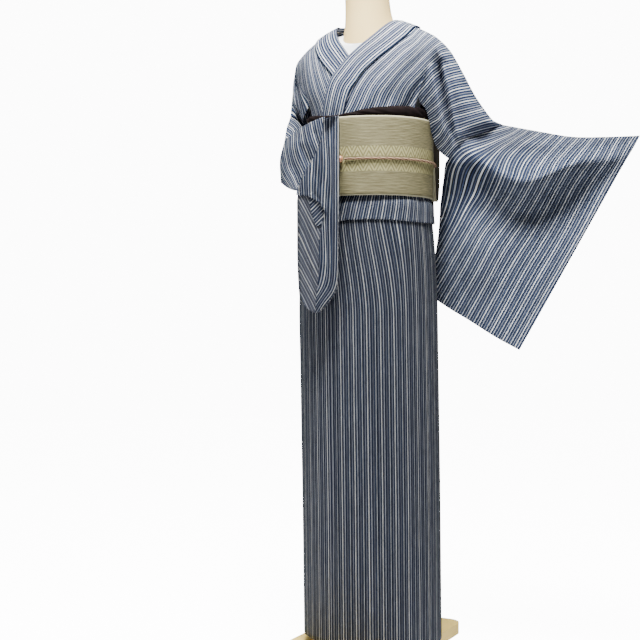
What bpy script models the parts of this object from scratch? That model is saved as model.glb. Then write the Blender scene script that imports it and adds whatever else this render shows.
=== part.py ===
"""Summer kimono dressed on a limbless form with its own belt, in metres, +Z up.

The figure's axis is Z, its front looks along -Y and its left side is at +X. The origin is the middle of
the underside of the wooden base. Every piece of cloth is an open surface given its wall by Solidify.
"""
import math

import bmesh
import bpy
import numpy as np

# Walls and clearances
CLOTH = 0.0014
BAND = 0.0028
BAND_LIFT = 0.0011
BELT_CLOTH = 0.0022
GAP = 0.0003
SEAM = 0.0005
ARMHOLE_CLEAR = 0.0016
ELBOW_CLEAR = 0.0024

# Heights of the dressed figure
WAIST_SPLIT = 1.020
BELT_BOTTOM = 0.970
BELT_TOP = 1.133
SHOULDER_TOP = 1.357
SHOULDER_FALL = 2.2
CHEST_BASE = 1.10

# The wrapped skirt, for its under layer: height, half width, half depth, sideways shift
SKIRT_FORM = (
    (0.044, 0.1460, 0.1250, 0.006),
    (0.300, 0.1470, 0.1245, 0.003),
    (0.600, 0.1480, 0.1230, -0.002),
    (0.780, 0.1475, 0.1210, -0.005),
    (0.860, 0.1430, 0.1180, -0.005),
    (0.920, 0.1360, 0.1140, -0.004),
    (0.975, 0.1240, 0.1080, -0.003),
    (1.020, 0.1200, 0.1060, -0.002),
)
WRAP_STEP = 0.005
# Angles are counted from the front centre, towards the figure's left side
OVERLAP_SEAM = -10.0
OVERLAP_EDGE = -68.0
SIDE_SEAM = 76.0
BACK_SEAM = 180.0
SKIRT_HEIGHTS = (0.044, 0.191, 0.338, 0.486, 0.633, 0.780, 0.840, 0.875, 0.909, 0.944, 0.979, 1.014)
# The skirt's half width on average, for turning a seam's gap into an angle
SKIRT_REACH = 0.13

# The tucked fold below the belt, from outside to inside: distance out from the skirt, height
FOLD_SECTION = (
    (0.0092, 1.0160),
    (0.0092, 0.9850),
    (0.0093, 0.9700),
    (0.0125, 0.9580),
    (0.0140, 0.9380),
    (0.0138, 0.9250),
    (0.0125, 0.9205),
    (0.0108, 0.9190),
    (0.0095, 0.9220),
    (0.0090, 0.9350),
    (0.0075, 0.9550),
    (0.0074, 0.9850),
    (0.0074, 1.0160),
)
FOLD_CLOTH = 0.0012
# The left fold laps over the front to this angle, just past the right one's end
FOLD_MEETS = -61.2

# The upper body's cloth: height, half width, half depth in front, half depth behind
CHEST_FORM = (
    (1.020, 0.1180, 0.1010, 0.1040),
    (1.100, 0.1190, 0.1020, 0.1050),
    (1.125, 0.1200, 0.1035, 0.1055),
    (1.165, 0.1280, 0.1105, 0.1060),
    (1.205, 0.1480, 0.1175, 0.1050),
    (1.250, 0.1640, 0.1200, 0.1040),
    (1.300, 0.1800, 0.1180, 0.1020),
    (1.360, 0.1900, 0.1180, 0.1000),
)
# Where a front panel's inner edge runs under its collar: height, distance past the centre
FRONT_EDGE = (
    (1.020, -0.060),
    (1.100, -0.050),
    (1.157, -0.034),
    (1.210, -0.014),
    (1.250, 0.016),
    (1.280, 0.040),
    (1.310, 0.063),
    (1.335, 0.088),
)
# The same for the back, where the centre seam turns into the neckline
BACK_EDGE = (
    (1.020, 0.0004),
    (1.250, 0.0004),
    (1.275, 0.008),
    (1.300, 0.035),
    (1.335, 0.088),
)
PANEL_REACH = 0.85
LEFT_OVER = 0.0073
CHEST_LINES = 8
CHEST_ROWS = 13
DRAPE_STRIDE = 0.16

# The left shoulder's drape past the chest. Each section runs from the front's free edge over the
# shoulder fold to the back's free edge: front edge, front middle, fold, back middle, back edge
LEFT_DRAPE = (
    ((0.1090, -0.050, 1.173), (0.148, -0.041, 1.235), (0.167, 0.000, 1.296), (0.150, 0.045, 1.235),
     (0.109, 0.052, 1.173)),
    ((0.1440, -0.028, 1.160), (0.153, -0.022, 1.230), (0.175, 0.000, 1.290), (0.163, 0.050, 1.230),
     (0.148, 0.055, 1.160)),
    ((0.1450, 0.006, 1.102), (0.152, -0.002, 1.205), (0.184, 0.004, 1.278), (0.172, 0.062, 1.195),
     (0.160, 0.080, 1.110)),
    ((0.1550, 0.040, 1.068), (0.166, 0.026, 1.160), (0.198, 0.020, 1.244), (0.185, 0.078, 1.155),
     (0.172, 0.100, 1.070)),
    ((0.1640, 0.050, 1.052), (0.183, 0.034, 1.130), (0.218, 0.042, 1.204), (0.200, 0.090, 1.115),
     (0.184, 0.112, 1.035)),
)
# The right shoulder's drape hangs straight down past the missing arm
RIGHT_DRAPE = (
    ((-0.1090, -0.050, 1.173), (-0.148, -0.041, 1.235), (-0.167, 0.000, 1.296), (-0.150, 0.045, 1.235),
     (-0.109, 0.052, 1.173)),
    ((-0.1450, -0.036, 1.160), (-0.160, -0.030, 1.225), (-0.181, 0.000, 1.278), (-0.166, 0.046, 1.225),
     (-0.150, 0.052, 1.160)),
    ((-0.1500, -0.026, 1.158), (-0.168, -0.028, 1.190), (-0.188, -0.002, 1.230), (-0.180, 0.030, 1.180),
     (-0.168, 0.036, 1.120)),
)

# The sleeves' tables are laid out across, away and up in a plane turned by this angle from the front
PULL_TURN = math.radians(28.0)
SLEEVE_ROWS = (0.0, 0.14, 0.26, 0.42, 0.68, 1.0)
# The left sleeve's front layer, pulled out sideways by the top of its cuff. A section for each share of
# the width from the armhole to the cuff, with the fold, valley, ridge, shade, middle and hem on it
LEFT_SLEEVE = (
    (0.00, ((0.278, -0.050, 1.126), (0.235, -0.054, 1.108), (0.195, -0.062, 1.088),
            (0.157, -0.012, 1.005), (0.148, 0.025, 0.890), (0.143, 0.055, 0.772))),
    (0.25, ((0.346, -0.080, 1.108), (0.281, -0.085, 1.051), (0.247, -0.115, 1.029),
            (0.224, -0.090, 0.974), (0.186, -0.060, 0.872), (0.162, -0.010, 0.745))),
    (0.50, ((0.409, -0.115, 1.091), (0.333, -0.120, 1.030), (0.310, -0.155, 0.997),
            (0.285, -0.125, 0.944), (0.251, -0.105, 0.855), (0.206, -0.070, 0.713))),
    (0.75, ((0.470, -0.150, 1.085), (0.433, -0.155, 1.054), (0.408, -0.175, 1.029),
            (0.380, -0.155, 0.965), (0.332, -0.145, 0.853), (0.247, -0.130, 0.682))),
    (1.00, ((0.531, -0.180, 1.083), (0.517, -0.180, 1.057), (0.502, -0.180, 1.032),
            (0.463, -0.180, 0.963), (0.391, -0.180, 0.835), (0.290, -0.180, 0.655))),
)
# How far down its front and back layers a sleeve is sewn on
ARMHOLE_SHARES = (0.34, 0.34)
CUFF_SHARE = 0.47
SLEEVE_GAP = 0.030
LEFT_SLEEVE_COLUMNS = 13
SLEEVE_DOWNS = 17

# The right sleeve's elbow part, brought round to the front: share, fold, middle and hem of its face
ELBOW_ROWS = (0.0, 0.5, 1.0)
RIGHT_ELBOW = (
    (0.00, ((-0.193, -0.006, 1.166), (-0.186, 0.002, 1.118), (-0.174, 0.000, 1.070))),
    (0.25, ((-0.174, -0.062, 1.120), (-0.174, -0.078, 1.070), (-0.162, -0.086, 1.012))),
    (0.50, ((-0.130, -0.112, 1.108), (-0.150, -0.118, 1.058), (-0.150, -0.122, 1.006))),
    (0.75, ((-0.080, -0.146, 1.113), (-0.098, -0.150, 1.050), (-0.104, -0.158, 0.985))),
    (1.00, ((-0.030, -0.152, 1.112), (-0.040, -0.156, 1.045), (-0.048, -0.162, 0.975))),
)
ELBOW_GAP = 0.014
ELBOW_ARMHOLE_SHARES = (0.36, 0.80)
ELBOW_COLUMNS = 10
ELBOW_DOWNS = 7
# The right sleeve's front part hangs from the cuff's top and turns back along the hip. Down its face:
# share, left edge's reach and height, right edge's reach and height, how near the viewer the left edge,
# middle and right lie, and how far the turned part runs back
FRONT_SLEEVE = (
    (0.00, -0.093, 1.103, -0.069, 1.126, -0.134, -0.140, -0.148, 0.004),
    (0.14, -0.110, 1.060, -0.069, 1.070, -0.137, -0.145, -0.151, 0.006),
    (0.34, -0.148, 0.985, -0.069, 0.985, -0.133, -0.147, -0.152, 0.014),
    (0.42, -0.154, 0.955, -0.069, 0.950, -0.128, -0.146, -0.151, 0.040),
    (0.62, -0.154, 0.870, -0.070, 0.870, -0.124, -0.144, -0.148, 0.056),
    (0.80, -0.152, 0.800, -0.071, 0.805, -0.122, -0.142, -0.145, 0.056),
    (0.92, -0.149, 0.763, -0.073, 0.778, -0.124, -0.140, -0.142, 0.050),
    (1.00, -0.146, 0.752, -0.078, 0.768, -0.128, -0.136, -0.138, 0.044),
)
FRONT_SLEEVE_DROP = 0.030
FRONT_SLEEVE_GAP = 0.016

# The collar's left half from the shoulder down: neck edge's reach and height, outer edge's reach and height
COLLAR_FRONT = (
    (0.070, 1.3500, 0.114, 1.3320),
    (0.060, 1.3370, 0.108, 1.3050),
    (0.042, 1.3100, 0.088, 1.2770),
    (0.020, 1.2850, 0.062, 1.2500),
    (0.000, 1.2620, 0.040, 1.2280),
    (-0.022, 1.2350, 0.024, 1.2050),
    (-0.040, 1.2100, 0.008, 1.1820),
    (-0.058, 1.1570, -0.008, 1.1330),
    (-0.072, 1.1100, -0.022, 1.0900),
)
# Its back from the centre to the shoulder, standing off the nape: neck edge, then outer edge
COLLAR_BACK = (
    ((0.000, 0.090, 1.336), (0.000, 0.087, 1.286)),
    ((0.030, 0.081, 1.341), (0.038, 0.082, 1.294)),
    ((0.056, 0.048, 1.352), (0.084, 0.058, 1.320)),
    ((0.068, 0.022, 1.354), (0.106, 0.026, 1.333)),
)

# The belt: height, half width, half depth of its inner wrap
BELT_FORM = (
    (BELT_BOTTOM, 0.1350, 0.1240),
    (1.050, 0.1360, 0.1250),
    (BELT_TOP, 0.1345, 0.1220),
)
BELT_SHIFT = -0.003
# The belt winds from under its own lap to its end behind the left hip, each turn a step further out
BELT_START = -300.0
BELT_LAP_START = -275.0
BELT_LAP_END = -240.0
BELT_END = 102.0
BELT_FIRST = 0.0012
BELT_STEP = 0.0030
BELT_COLUMNS = 49
SCARF_THICK = 0.0030
SCARF_COLUMNS = 41
# The scarf's section: distance from the belt's inner wrap, share of its rise over the belt's top, and drop
SCARF_SECTION = (
    (-0.0022, 0.00, -0.012),
    (-0.0022, 0.00, 0.0012),
    (0.0000, 0.40, 0.0),
    (0.0000, 0.75, 0.0),
    (-0.0025, 1.00, 0.0),
)
# The scarf over the belt: angle, height of its top edge
SCARF_TOP = (
    (-180.0, 1.150),
    (-90.0, 1.150),
    (-45.0, 1.147),
    (-8.0, 1.138),
    (30.0, 1.150),
    (80.0, 1.156),
    (180.0, 1.150),
)
CORD_HEIGHT = 1.0445
CORD_RADIUS = 0.0024
BEAD_RADIUS = 0.0074
# Half the angle the bead takes up on the cord
BEAD_ANGLE = 3.6
BOW_HALF_WIDTH = 0.090
# The bow's strip behind the belt: down over its top, round its lower fold, up inside and down to the
# tail's end: away, height
BOW_SECTION = (
    (0.1264, 1.1360),
    (0.1330, 1.1580),
    (0.1470, 1.1660),
    (0.1640, 1.1540),
    (0.1730, 1.1100),
    (0.1740, 1.0500),
    (0.1700, 0.9960),
    (0.1610, 0.9800),
    (0.1520, 0.9880),
    (0.1470, 1.0300),
    (0.1436, 1.0580),
    (0.1399, 1.0600),
    (0.1369, 1.0440),
    (0.1376, 1.0000),
    (0.1430, 0.9380),
)

# The dress form: height, half width, half depth, shift to the front, rise of its sides to the shoulders
TORSO_FORM = (
    (0.700, 0.098, 0.084, 0.000, 0.000),
    (0.716, 0.114, 0.096, 0.000, 0.000),
    (0.760, 0.126, 0.103, 0.000, 0.000),
    (0.840, 0.128, 0.104, 0.000, 0.000),
    (0.930, 0.114, 0.096, 0.000, 0.000),
    (1.010, 0.102, 0.090, 0.000, 0.000),
    (1.090, 0.104, 0.092, 0.000, 0.000),
    (1.160, 0.108, 0.094, 0.000, 0.000),
    (1.220, 0.122, 0.088, 0.000, 0.004),
    (1.262, 0.128, 0.074, 0.002, 0.015),
    (1.280, 0.116, 0.062, 0.004, 0.0400),
    (1.292, 0.101, 0.057, 0.004, 0.0402),
)
NECK_FORM = (
    (0.000, 0.0560, 0.0540, 0.004),
    (0.030, 0.0500, 0.0500, 0.008),
    (0.070, 0.0470, 0.0475, 0.014),
    (0.109, 0.0460, 0.0470, 0.024),
)
NECK_SEAM = (0.0590, 0.0565, 0.004)
NECK_BASE = 1.333
NECK_SLOPE = 0.60
FORM_COLUMNS = 28
BOARD_HALF_WIDTH = 0.135
BOARD_HALF_DEPTH = 0.256
BOARD_SHIFT = -0.021
BOARD_THICK = 0.025
BOARD_CORNER = 0.030
POLE_RADIUS = 0.0125
FLANGE_RADIUS = 0.045

STRIPED = (0.10, 0.14, 0.24, 1.0)
BELT_COLOUR = (0.42, 0.39, 0.24, 1.0)
SCARF_COLOUR = (0.035, 0.022, 0.020, 1.0)
CORD_COLOUR = (0.42, 0.20, 0.13, 1.0)
BEAD_COLOUR = (0.75, 0.42, 0.33, 1.0)
COVER_COLOUR = (0.85, 0.85, 0.85, 1.0)
SKIN_COLOUR = (0.82, 0.70, 0.53, 1.0)
WOOD_COLOUR = (0.62, 0.46, 0.29, 1.0)
METAL_COLOUR = (0.55, 0.55, 0.56, 1.0)


def clear_scene():
    for thing in list(bpy.data.objects):
        bpy.data.objects.remove(thing, do_unlink=True)


def collection_named(name):
    group = bpy.data.collections.new(name)
    bpy.context.scene.collection.children.link(group)
    return group


def material(name, colour, roughness, metallic=0.0):
    made = bpy.data.materials.new(name)
    made.use_nodes = True
    shader = made.node_tree.nodes["Principled BSDF"]
    shader.inputs["Base Color"].default_value = colour
    shader.inputs["Roughness"].default_value = roughness
    shader.inputs["Metallic"].default_value = metallic
    return made


def between(keys, values, places, level=False):
    """A smooth curve through the values at their keys, read at the places; level keeps it in its rows."""
    keys = np.asarray(keys, float)
    values = np.asarray(values, float)
    places = np.clip(np.atleast_1d(np.asarray(places, float)), keys[0], keys[-1])
    slopes = np.gradient(values, keys, axis=0)
    if level:
        rises = np.diff(values, axis=0)
        slopes[1:-1] = np.where(rises[:-1] * rises[1:] > 0.0, slopes[1:-1], 0.0)
    left = np.clip(np.searchsorted(keys, places, side="right") - 1, 0, len(keys) - 2)
    shape = (-1,) + (1,) * (values.ndim - 1)
    step = (keys[left + 1] - keys[left]).reshape(shape)
    part = (places - keys[left]).reshape(shape) / step
    rise = part * part * (3.0 - 2.0 * part)
    bend = slopes[left] * part * (1.0 - part) ** 2 - slopes[left + 1] * part * part * (1.0 - part)
    return values[left] * (1.0 - rise) + values[left + 1] * rise + step * bend


def table_row(table, key):
    rows = np.array(table, float)
    return between(rows[:, 0], rows[:, 1:], key, level=True)[0]


def ease(value, start, end):
    share = min(max((value - start) / (end - start), 0.0), 1.0)
    return share * share * (3.0 - 2.0 * share)


def turned(across, away, height):
    """A point of the sleeves' tables in the figure's own axes."""
    cosine = math.cos(PULL_TURN)
    sine = math.sin(PULL_TURN)
    return np.array((across * cosine - away * sine, across * sine + away * cosine, height))


def object_from(name, shell, look, group, smooth=True):
    mesh = bpy.data.meshes.new(name)
    shell.to_mesh(mesh)
    shell.free()
    made = bpy.data.objects.new(name, mesh)
    group.objects.link(made)
    mesh.materials.append(look)
    if smooth:
        mesh.shade_smooth()
    return made


def thicken(made, wall, side):
    solid = made.modifiers.new("wall", "SOLIDIFY")
    solid.thickness = wall
    solid.offset = side
    solid.use_quality_normals = True
    return made


def sheet(name, points, wall, look, group, side=0.0):
    """A wall of cloth through a grid of points."""
    shell = bmesh.new()
    corners = [[shell.verts.new(point) for point in row] for row in points]
    for above, below in zip(corners, corners[1:]):
        for place in range(len(above) - 1):
            shell.faces.new((above[place], above[place + 1], below[place + 1], below[place]))
    return thicken(object_from(name, shell, look, group), wall, side)


def bag(name, front, back, shared, wall, look, group):
    """Two layers sewn together wherever shared says so, with the wall on their outside."""
    shell = bmesh.new()
    rows, columns = front.shape[:2]
    fore = [[shell.verts.new(point) for point in row] for row in front]
    rear = []
    for row in range(rows):
        line = []
        for column in range(columns):
            if shared(row, column):
                line.append(fore[row][column])
            else:
                line.append(shell.verts.new(back[row][column]))
        rear.append(line)
    for row in range(rows - 1):
        for column in range(columns - 1):
            face = (fore[row][column], fore[row + 1][column], fore[row + 1][column + 1], fore[row][column + 1])
            shell.faces.new(face)
            face = (rear[row][column], rear[row][column + 1], rear[row + 1][column + 1], rear[row + 1][column])
            shell.faces.new(face)
    bmesh.ops.recalc_face_normals(shell, faces=shell.faces)
    return thicken(object_from(name, shell, look, group), wall, 1.0)


def loft(name, rings, look, group):
    """A closed solid through rings of points, with flat caps."""
    shell = bmesh.new()
    loops = [[shell.verts.new(point) for point in ring] for ring in rings]
    for lower, upper in zip(loops, loops[1:]):
        for place in range(len(lower)):
            after = (place + 1) % len(lower)
            shell.faces.new((lower[place], lower[after], upper[after], upper[place]))
    shell.faces.new(list(reversed(loops[0])))
    shell.faces.new(loops[-1])
    made = object_from(name, shell, look, group)
    made.data.set_sharp_from_angle(angle=math.radians(40.0))
    return made


def skirt_point(angle, height, out):
    """A point of the skirt's surface, moved out from the under layer."""
    half_width, half_depth, shift = table_row(SKIRT_FORM, height)
    turn = math.radians(angle)
    return np.array((
        shift + (half_width + out) * math.sin(turn),
        -(half_depth + out) * math.cos(turn),
        height,
    ))


def wrap_out(angle):
    """The left panels start level with the right ones behind and pass over them in front."""
    return WRAP_STEP * (1.0 - ease(angle, SIDE_SEAM + 10.0, BACK_SEAM - 10.0))


def skirt_panel(name, start, end, over, columns, look, group):
    grid = []
    for height in SKIRT_HEIGHTS:
        row = []
        for angle in np.linspace(start, end, columns):
            out = wrap_out(angle) if over else 0.0
            row.append(skirt_point(angle, height, out))
        grid.append(row)
    return sheet(name, grid, CLOTH, look, group)


def seam_angle(angle, direction):
    """An edge's angle, moved along by half a seam's gap."""
    return angle + direction * math.degrees(SEAM / 2 / SKIRT_REACH)


def make_skirt(look, group):
    under_edge = -OVERLAP_EDGE
    under_seam = -OVERLAP_SEAM
    panels = (
        ("left_skirt_back", BACK_SEAM, SIDE_SEAM, True, 10),
        ("left_skirt_front", SIDE_SEAM, OVERLAP_SEAM, True, 9),
        ("left_skirt_overlap", OVERLAP_SEAM, OVERLAP_EDGE, True, 7),
        ("right_skirt_back", -BACK_SEAM, -SIDE_SEAM, False, 10),
        ("right_skirt_front", -SIDE_SEAM, under_seam, False, 9),
        ("right_skirt_overlap", under_seam, under_edge, False, 7),
    )
    for name, start, end, over, columns in panels:
        step = 1.0 if end > start else -1.0
        skirt_panel(name, seam_angle(start, step), seam_angle(end, -step), over, columns, look, group)


def make_fold_over(look, group):
    for name, start, end, columns in (
        ("left_tucked_fold", BACK_SEAM - 0.2, FOLD_MEETS + 0.2, 23),
        ("right_tucked_fold", 0.2 - BACK_SEAM, FOLD_MEETS - 0.2, 12),
    ):
        grid = []
        for angle in np.linspace(start, end, columns):
            grid.append([skirt_point(angle, height, out) for out, height in FOLD_SECTION])
        sheet(name, grid, FOLD_CLOTH, look, group)


def shoulder_height(reach):
    return SHOULDER_TOP - SHOULDER_FALL * reach * reach


def chest_depth(reach, height, out, behind):
    """How far the chest's cloth lies from the figure's side plane."""
    half_width, front_depth, back_depth = table_row(CHEST_FORM, height)
    depth = (back_depth if behind else front_depth) + out
    across = min(abs(reach) / (half_width + out), 1.0)
    climb = max((height - CHEST_BASE) / (shoulder_height(reach) + out - CHEST_BASE), 0.0)
    size = depth * math.sqrt(1.0 - across * across) * math.sqrt(max(1.0 - climb * climb, 0.0))
    return size if behind else -size


def left_out(height):
    """The left front lies over the right one up to the shoulder."""
    return LEFT_OVER * (1.0 - ease(height, 1.25, 1.33))


def panel_reach(share, height, edge, out):
    """Distance from the centre of a panel's line, a share of the way from its inner edge to its side."""
    inner = table_row(edge, height)[0]
    outer = PANEL_REACH * (table_row(CHEST_FORM, height)[0] + out)
    return inner + share * (outer - inner)


def chest_line(share, side, over, rows):
    """One line of an upper panel: up the front, over the shoulder and down the back."""
    line = []
    for behind in (False, True):
        edge = BACK_EDGE if behind else FRONT_EDGE
        top = SHOULDER_TOP - 0.02
        for _ in range(12):
            top = shoulder_height(panel_reach(share, top, edge, 0.0))
        climb = np.linspace(0.0, 1.0, rows)
        half = []
        for part in climb:
            if part < 0.2:
                height = WAIST_SPLIT + (CHEST_BASE - WAIST_SPLIT) * part / 0.2
            else:
                height = CHEST_BASE + (top - CHEST_BASE) * math.sin(math.pi / 2 * (part - 0.2) / 0.8)
            out = left_out(height) * (1.0 - ease(share, 0.80, 1.00)) if over and not behind else 0.0
            reach = panel_reach(share, height, edge, out)
            away = 0.0 if part == 1.0 else chest_depth(reach, height, out, behind)
            half.append((side * reach, away, height))
        line += list(reversed(half))[1:] if behind else half
    return np.array(line)


def drape_line(section, rows):
    """One line of a shoulder's drape through its five points, with as many points as a chest line."""
    places = np.concatenate((np.linspace(0.0, 0.5, rows), np.linspace(0.5, 1.0, rows)[1:]))
    return between((0.0, 0.26, 0.5, 0.74, 1.0), section, places)


def sleeve_front(share, down):
    """A point of the left sleeve's front layer."""
    sections = np.array([points for _, points in LEFT_SLEEVE], float)
    section = between([row[0] for row in LEFT_SLEEVE], sections, share)[0]
    return turned(*between(SLEEVE_ROWS, section, down)[0])


def sleeve_back(share, down):
    """A point of the left sleeve's back layer, which hangs plainly from fold to hem."""
    fold = sleeve_front(share, 0.0)
    hem = sleeve_front(share, 1.0)
    open_end = 1.0 - ease(share, 0.8, 1.0) * ease(down, CUFF_SHARE - 0.25, CUFF_SHARE)
    swell = SLEEVE_GAP * math.sin(math.pi * down) ** 0.7 * (0.25 + 0.75 * open_end)
    straight = fold + (hem - fold) * down
    front = sleeve_front(share, down)
    behind = turned(0.0, swell, 0.0)
    nearer = 0.25 * (1.0 - down) + 0.75 * ease(share, 0.55, 1.0)
    return straight + (front - straight) * min(nearer, 1.0) + behind


def armhole_line(front_point, back_point, reaches, step, clearance):
    """An armhole's seam: up the sleeve's front layer, over its fold and down its back layer, clear of it."""
    front_downs = np.linspace(reaches[0], 0.0, CHEST_ROWS)
    back_downs = np.linspace(0.0, reaches[1], CHEST_ROWS)[1:]
    line = []
    for layer, downs in ((front_point, front_downs), (back_point, back_downs)):
        for down in downs:
            edge = layer(0.0, down)
            beyond = edge - layer(step, down)
            line.append(edge + beyond / np.linalg.norm(beyond) * clearance)
    return np.array(line)


def upper_panel(name, side, over, drape, last_line, look, group):
    """An upper panel in one piece from its inner edge to the armhole, past the shoulder's drape."""
    keys = list(np.linspace(0.0, 1.0, CHEST_LINES))
    lines = [chest_line(share, side, over, CHEST_ROWS) for share in keys]
    for section in drape:
        lines.append(drape_line(section, CHEST_ROWS))
    lines.append(last_line)
    past = 1.0 + DRAPE_STRIDE * np.arange(1, len(drape) + 2)
    fine = keys + list(np.linspace(1.0, past[-1], 2 * len(past) + 1)[1:])
    grid = between(keys + list(past), lines, fine)
    return sheet(name, grid, CLOTH, look, group)


def make_upper_body(look, group):
    left_step = 1.0 / (LEFT_SLEEVE_COLUMNS - 1)
    right_step = 1.0 / (ELBOW_COLUMNS - 1)
    left_seam = armhole_line(sleeve_front, sleeve_back, ARMHOLE_SHARES, left_step, ARMHOLE_CLEAR)
    right_seam = armhole_line(elbow_back, elbow_front, ELBOW_ARMHOLE_SHARES, right_step, ELBOW_CLEAR)
    upper_panel("left_upper_body", 1.0, True, LEFT_DRAPE, left_seam, look, group)
    upper_panel("right_upper_body", -1.0, False, RIGHT_DRAPE, right_seam, look, group)


def make_left_sleeve(look, group):
    shares = np.linspace(0.0, 1.0, LEFT_SLEEVE_COLUMNS)
    downs = np.linspace(0.0, 1.0, SLEEVE_DOWNS)
    front = np.array([[sleeve_front(share, down) for share in shares] for down in downs])
    back = np.array([[sleeve_back(share, down) for share in shares] for down in downs])

    def shared(row, column):
        sewn_side = column == len(shares) - 1 and downs[row] > CUFF_SHARE
        return row in (0, len(downs) - 1) or sewn_side

    bag("left_sleeve", front, back, shared, CLOTH, look, group)


def elbow_front(share, down):
    sections = np.array([points for _, points in RIGHT_ELBOW], float)
    section = between([row[0] for row in RIGHT_ELBOW], sections, share)[0]
    return between(ELBOW_ROWS, section, down)[0]


def elbow_back(share, down):
    """The elbow's inner layer, between its face and the body."""
    along = elbow_front(share + 0.02, 0.5) - elbow_front(share - 0.02, 0.5)
    inwards = np.array((-along[1], along[0], 0.0)) / math.hypot(along[0], along[1])
    gap = ELBOW_GAP * (1.0 + (1.0 - share) ** 2)
    return elbow_front(share, down) + inwards * gap * math.sin(math.pi * down) ** 0.6


def front_sleeve_point(share, down, inwards):
    """A point of the right sleeve's front part: below 0 the share runs back along the hip, and inwards is
    0 on its face and 1 on the layer behind."""
    left, left_height, right, right_height, near_left, near_middle, near_right, turn = table_row(FRONT_SLEEVE, down)
    keys = (-1.0, -0.25, 0.0, 0.5, 1.0)
    plan = (
        (left + 0.15 * turn, near_left + 1.15 * turn), (left, near_left + 0.30 * turn),
        (left + 0.004, near_left), ((left + right) / 2, near_middle), (right, near_right),
    )
    places = between(keys, plan, (share - 0.02, share, share + 0.02))
    along = places[2] - places[0]
    inner = np.array((-along[1], along[0])) / np.linalg.norm(along)
    swell = math.sin(math.pi * down) ** 0.6 * math.sin(math.pi * (share + 1.0) / 2 * 0.93) ** 0.6
    across, away = places[1] + inner * FRONT_SLEEVE_GAP * swell * inwards
    height = left_height + max(share, 0.0) * (right_height - left_height)
    height -= FRONT_SLEEVE_DROP * math.sin(math.pi * max(share, 0.0)) * ease(down, 0.75, 1.0)
    return turned(across, away, height)


def make_right_sleeve(look, group):
    shares = np.linspace(0.0, 1.0, ELBOW_COLUMNS)
    downs = np.linspace(0.0, 1.0, ELBOW_DOWNS)
    front = np.array([[elbow_front(share, down) for share in shares] for down in downs])
    back = np.array([[elbow_back(share, down) for share in shares] for down in downs])
    edges = (0, len(downs) - 1)
    bag("right_sleeve_elbow", front, back, lambda row, column: row in edges, CLOTH, look, group)

    shares = np.concatenate((np.linspace(-1.0, -0.3, 4), np.linspace(0.0, 1.0, 8)))
    downs = np.linspace(0.0, 1.0, SLEEVE_DOWNS)
    front = np.array([[front_sleeve_point(share, down, 0.0) for share in shares] for down in downs])
    back = np.array([[front_sleeve_point(share, down, 1.0) for share in shares] for down in downs])

    def shared(row, column):
        sewn_side = column == len(shares) - 1 and downs[row] > CUFF_SHARE
        return row in (0, len(downs) - 1) or column == 0 or sewn_side

    bag("right_sleeve_front", front, back, shared, CLOTH, look, group)


def collar_front(side, key, share):
    """A point of the collar on its side's front, a share of the way from its neck edge to its outer edge."""
    rows = np.array(COLLAR_FRONT, float)
    neck_reach, neck_height, outer_reach, outer_height = between(np.arange(len(rows)), rows, key)[0]
    reach = neck_reach + share * (outer_reach - neck_reach)
    height = neck_height + share * (outer_height - neck_height)
    out = CLOTH / 2 + BAND / 2 + BAND_LIFT + (left_out(height) if side > 0 else 0.0)
    return side * reach, chest_depth(reach, height, out, False), height


def collar_back(key, share):
    """A point of the collar behind the neck; the key runs from the centre to the left shoulder."""
    shoulder = [collar_front(1.0, 0.0, end) for end in (0.0, 1.0)]
    rows = np.array(COLLAR_BACK + (shoulder,), float)
    neck, outer = between(np.arange(len(rows)), rows, key)[0]
    return neck + share * (outer - neck)


def collar_grid(across):
    """The collar from the right front's lower end round the nape to the left front's lower end."""
    fronts = (0.0, 0.04, 0.14, 0.3, 0.5, 0.75) + tuple(np.linspace(1.0, len(COLLAR_FRONT) - 1, 22))
    backs = np.linspace(0.0, len(COLLAR_BACK), 2 * len(COLLAR_BACK) + 1)[:-1]
    shares = np.linspace(0.0, 1.0, across)
    mirror = np.array((-1.0, 1.0, 1.0))
    grid = [[collar_front(-1.0, key, share) for share in shares] for key in reversed(fronts)]
    grid += [[mirror * collar_back(key, share) for share in shares] for key in reversed(backs[1:])]
    grid += [[collar_back(key, share) for share in shares] for key in backs]
    grid += [[collar_front(1.0, key, share) for share in shares] for key in fronts]
    return grid


def make_collar(look, group):
    return sheet("collar", collar_grid(5), BAND, look, group)


def belt_point(angle, height, out):
    half_width, half_depth = table_row(BELT_FORM, height)
    turn = math.radians(angle)
    return np.array((
        BELT_SHIFT + (half_width + out) * math.sin(turn),
        -(half_depth + out) * math.cos(turn),
        height,
    ))


def make_belt(look, scarf_look, group):
    grid = []
    for angle in np.linspace(BELT_START, BELT_END, BELT_COLUMNS):
        out = BELT_FIRST + BELT_STEP * ease(angle, BELT_LAP_START, BELT_LAP_END)
        grid.append([belt_point(angle, height, out) for height in np.linspace(BELT_BOTTOM, BELT_TOP, 4)])
    sheet("belt_wrap", grid, BELT_CLOTH, look, group)

    places = np.linspace(0, len(BOW_SECTION) - 1, 2 * len(BOW_SECTION) - 1)
    section = between(np.arange(len(BOW_SECTION)), BOW_SECTION, places)
    reaches = np.linspace(-BOW_HALF_WIDTH, BOW_HALF_WIDTH, 4)
    grid = [[(reach, away, height) for away, height in section] for reach in reaches]
    sheet("belt_bow", grid, BELT_CLOTH, look, group)

    grid = []
    for angle in np.linspace(-180.0, 179.6, SCARF_COLUMNS):
        top = table_row(SCARF_TOP, angle)[0]
        line = []
        for out, rise, more in SCARF_SECTION:
            point = belt_point(angle, BELT_TOP, out)
            line.append((point[0], point[1], BELT_TOP + rise * (top - BELT_TOP) + more))
        grid.append(line)
    sheet("belt_scarf", grid, SCARF_THICK, scarf_look, group)


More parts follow.
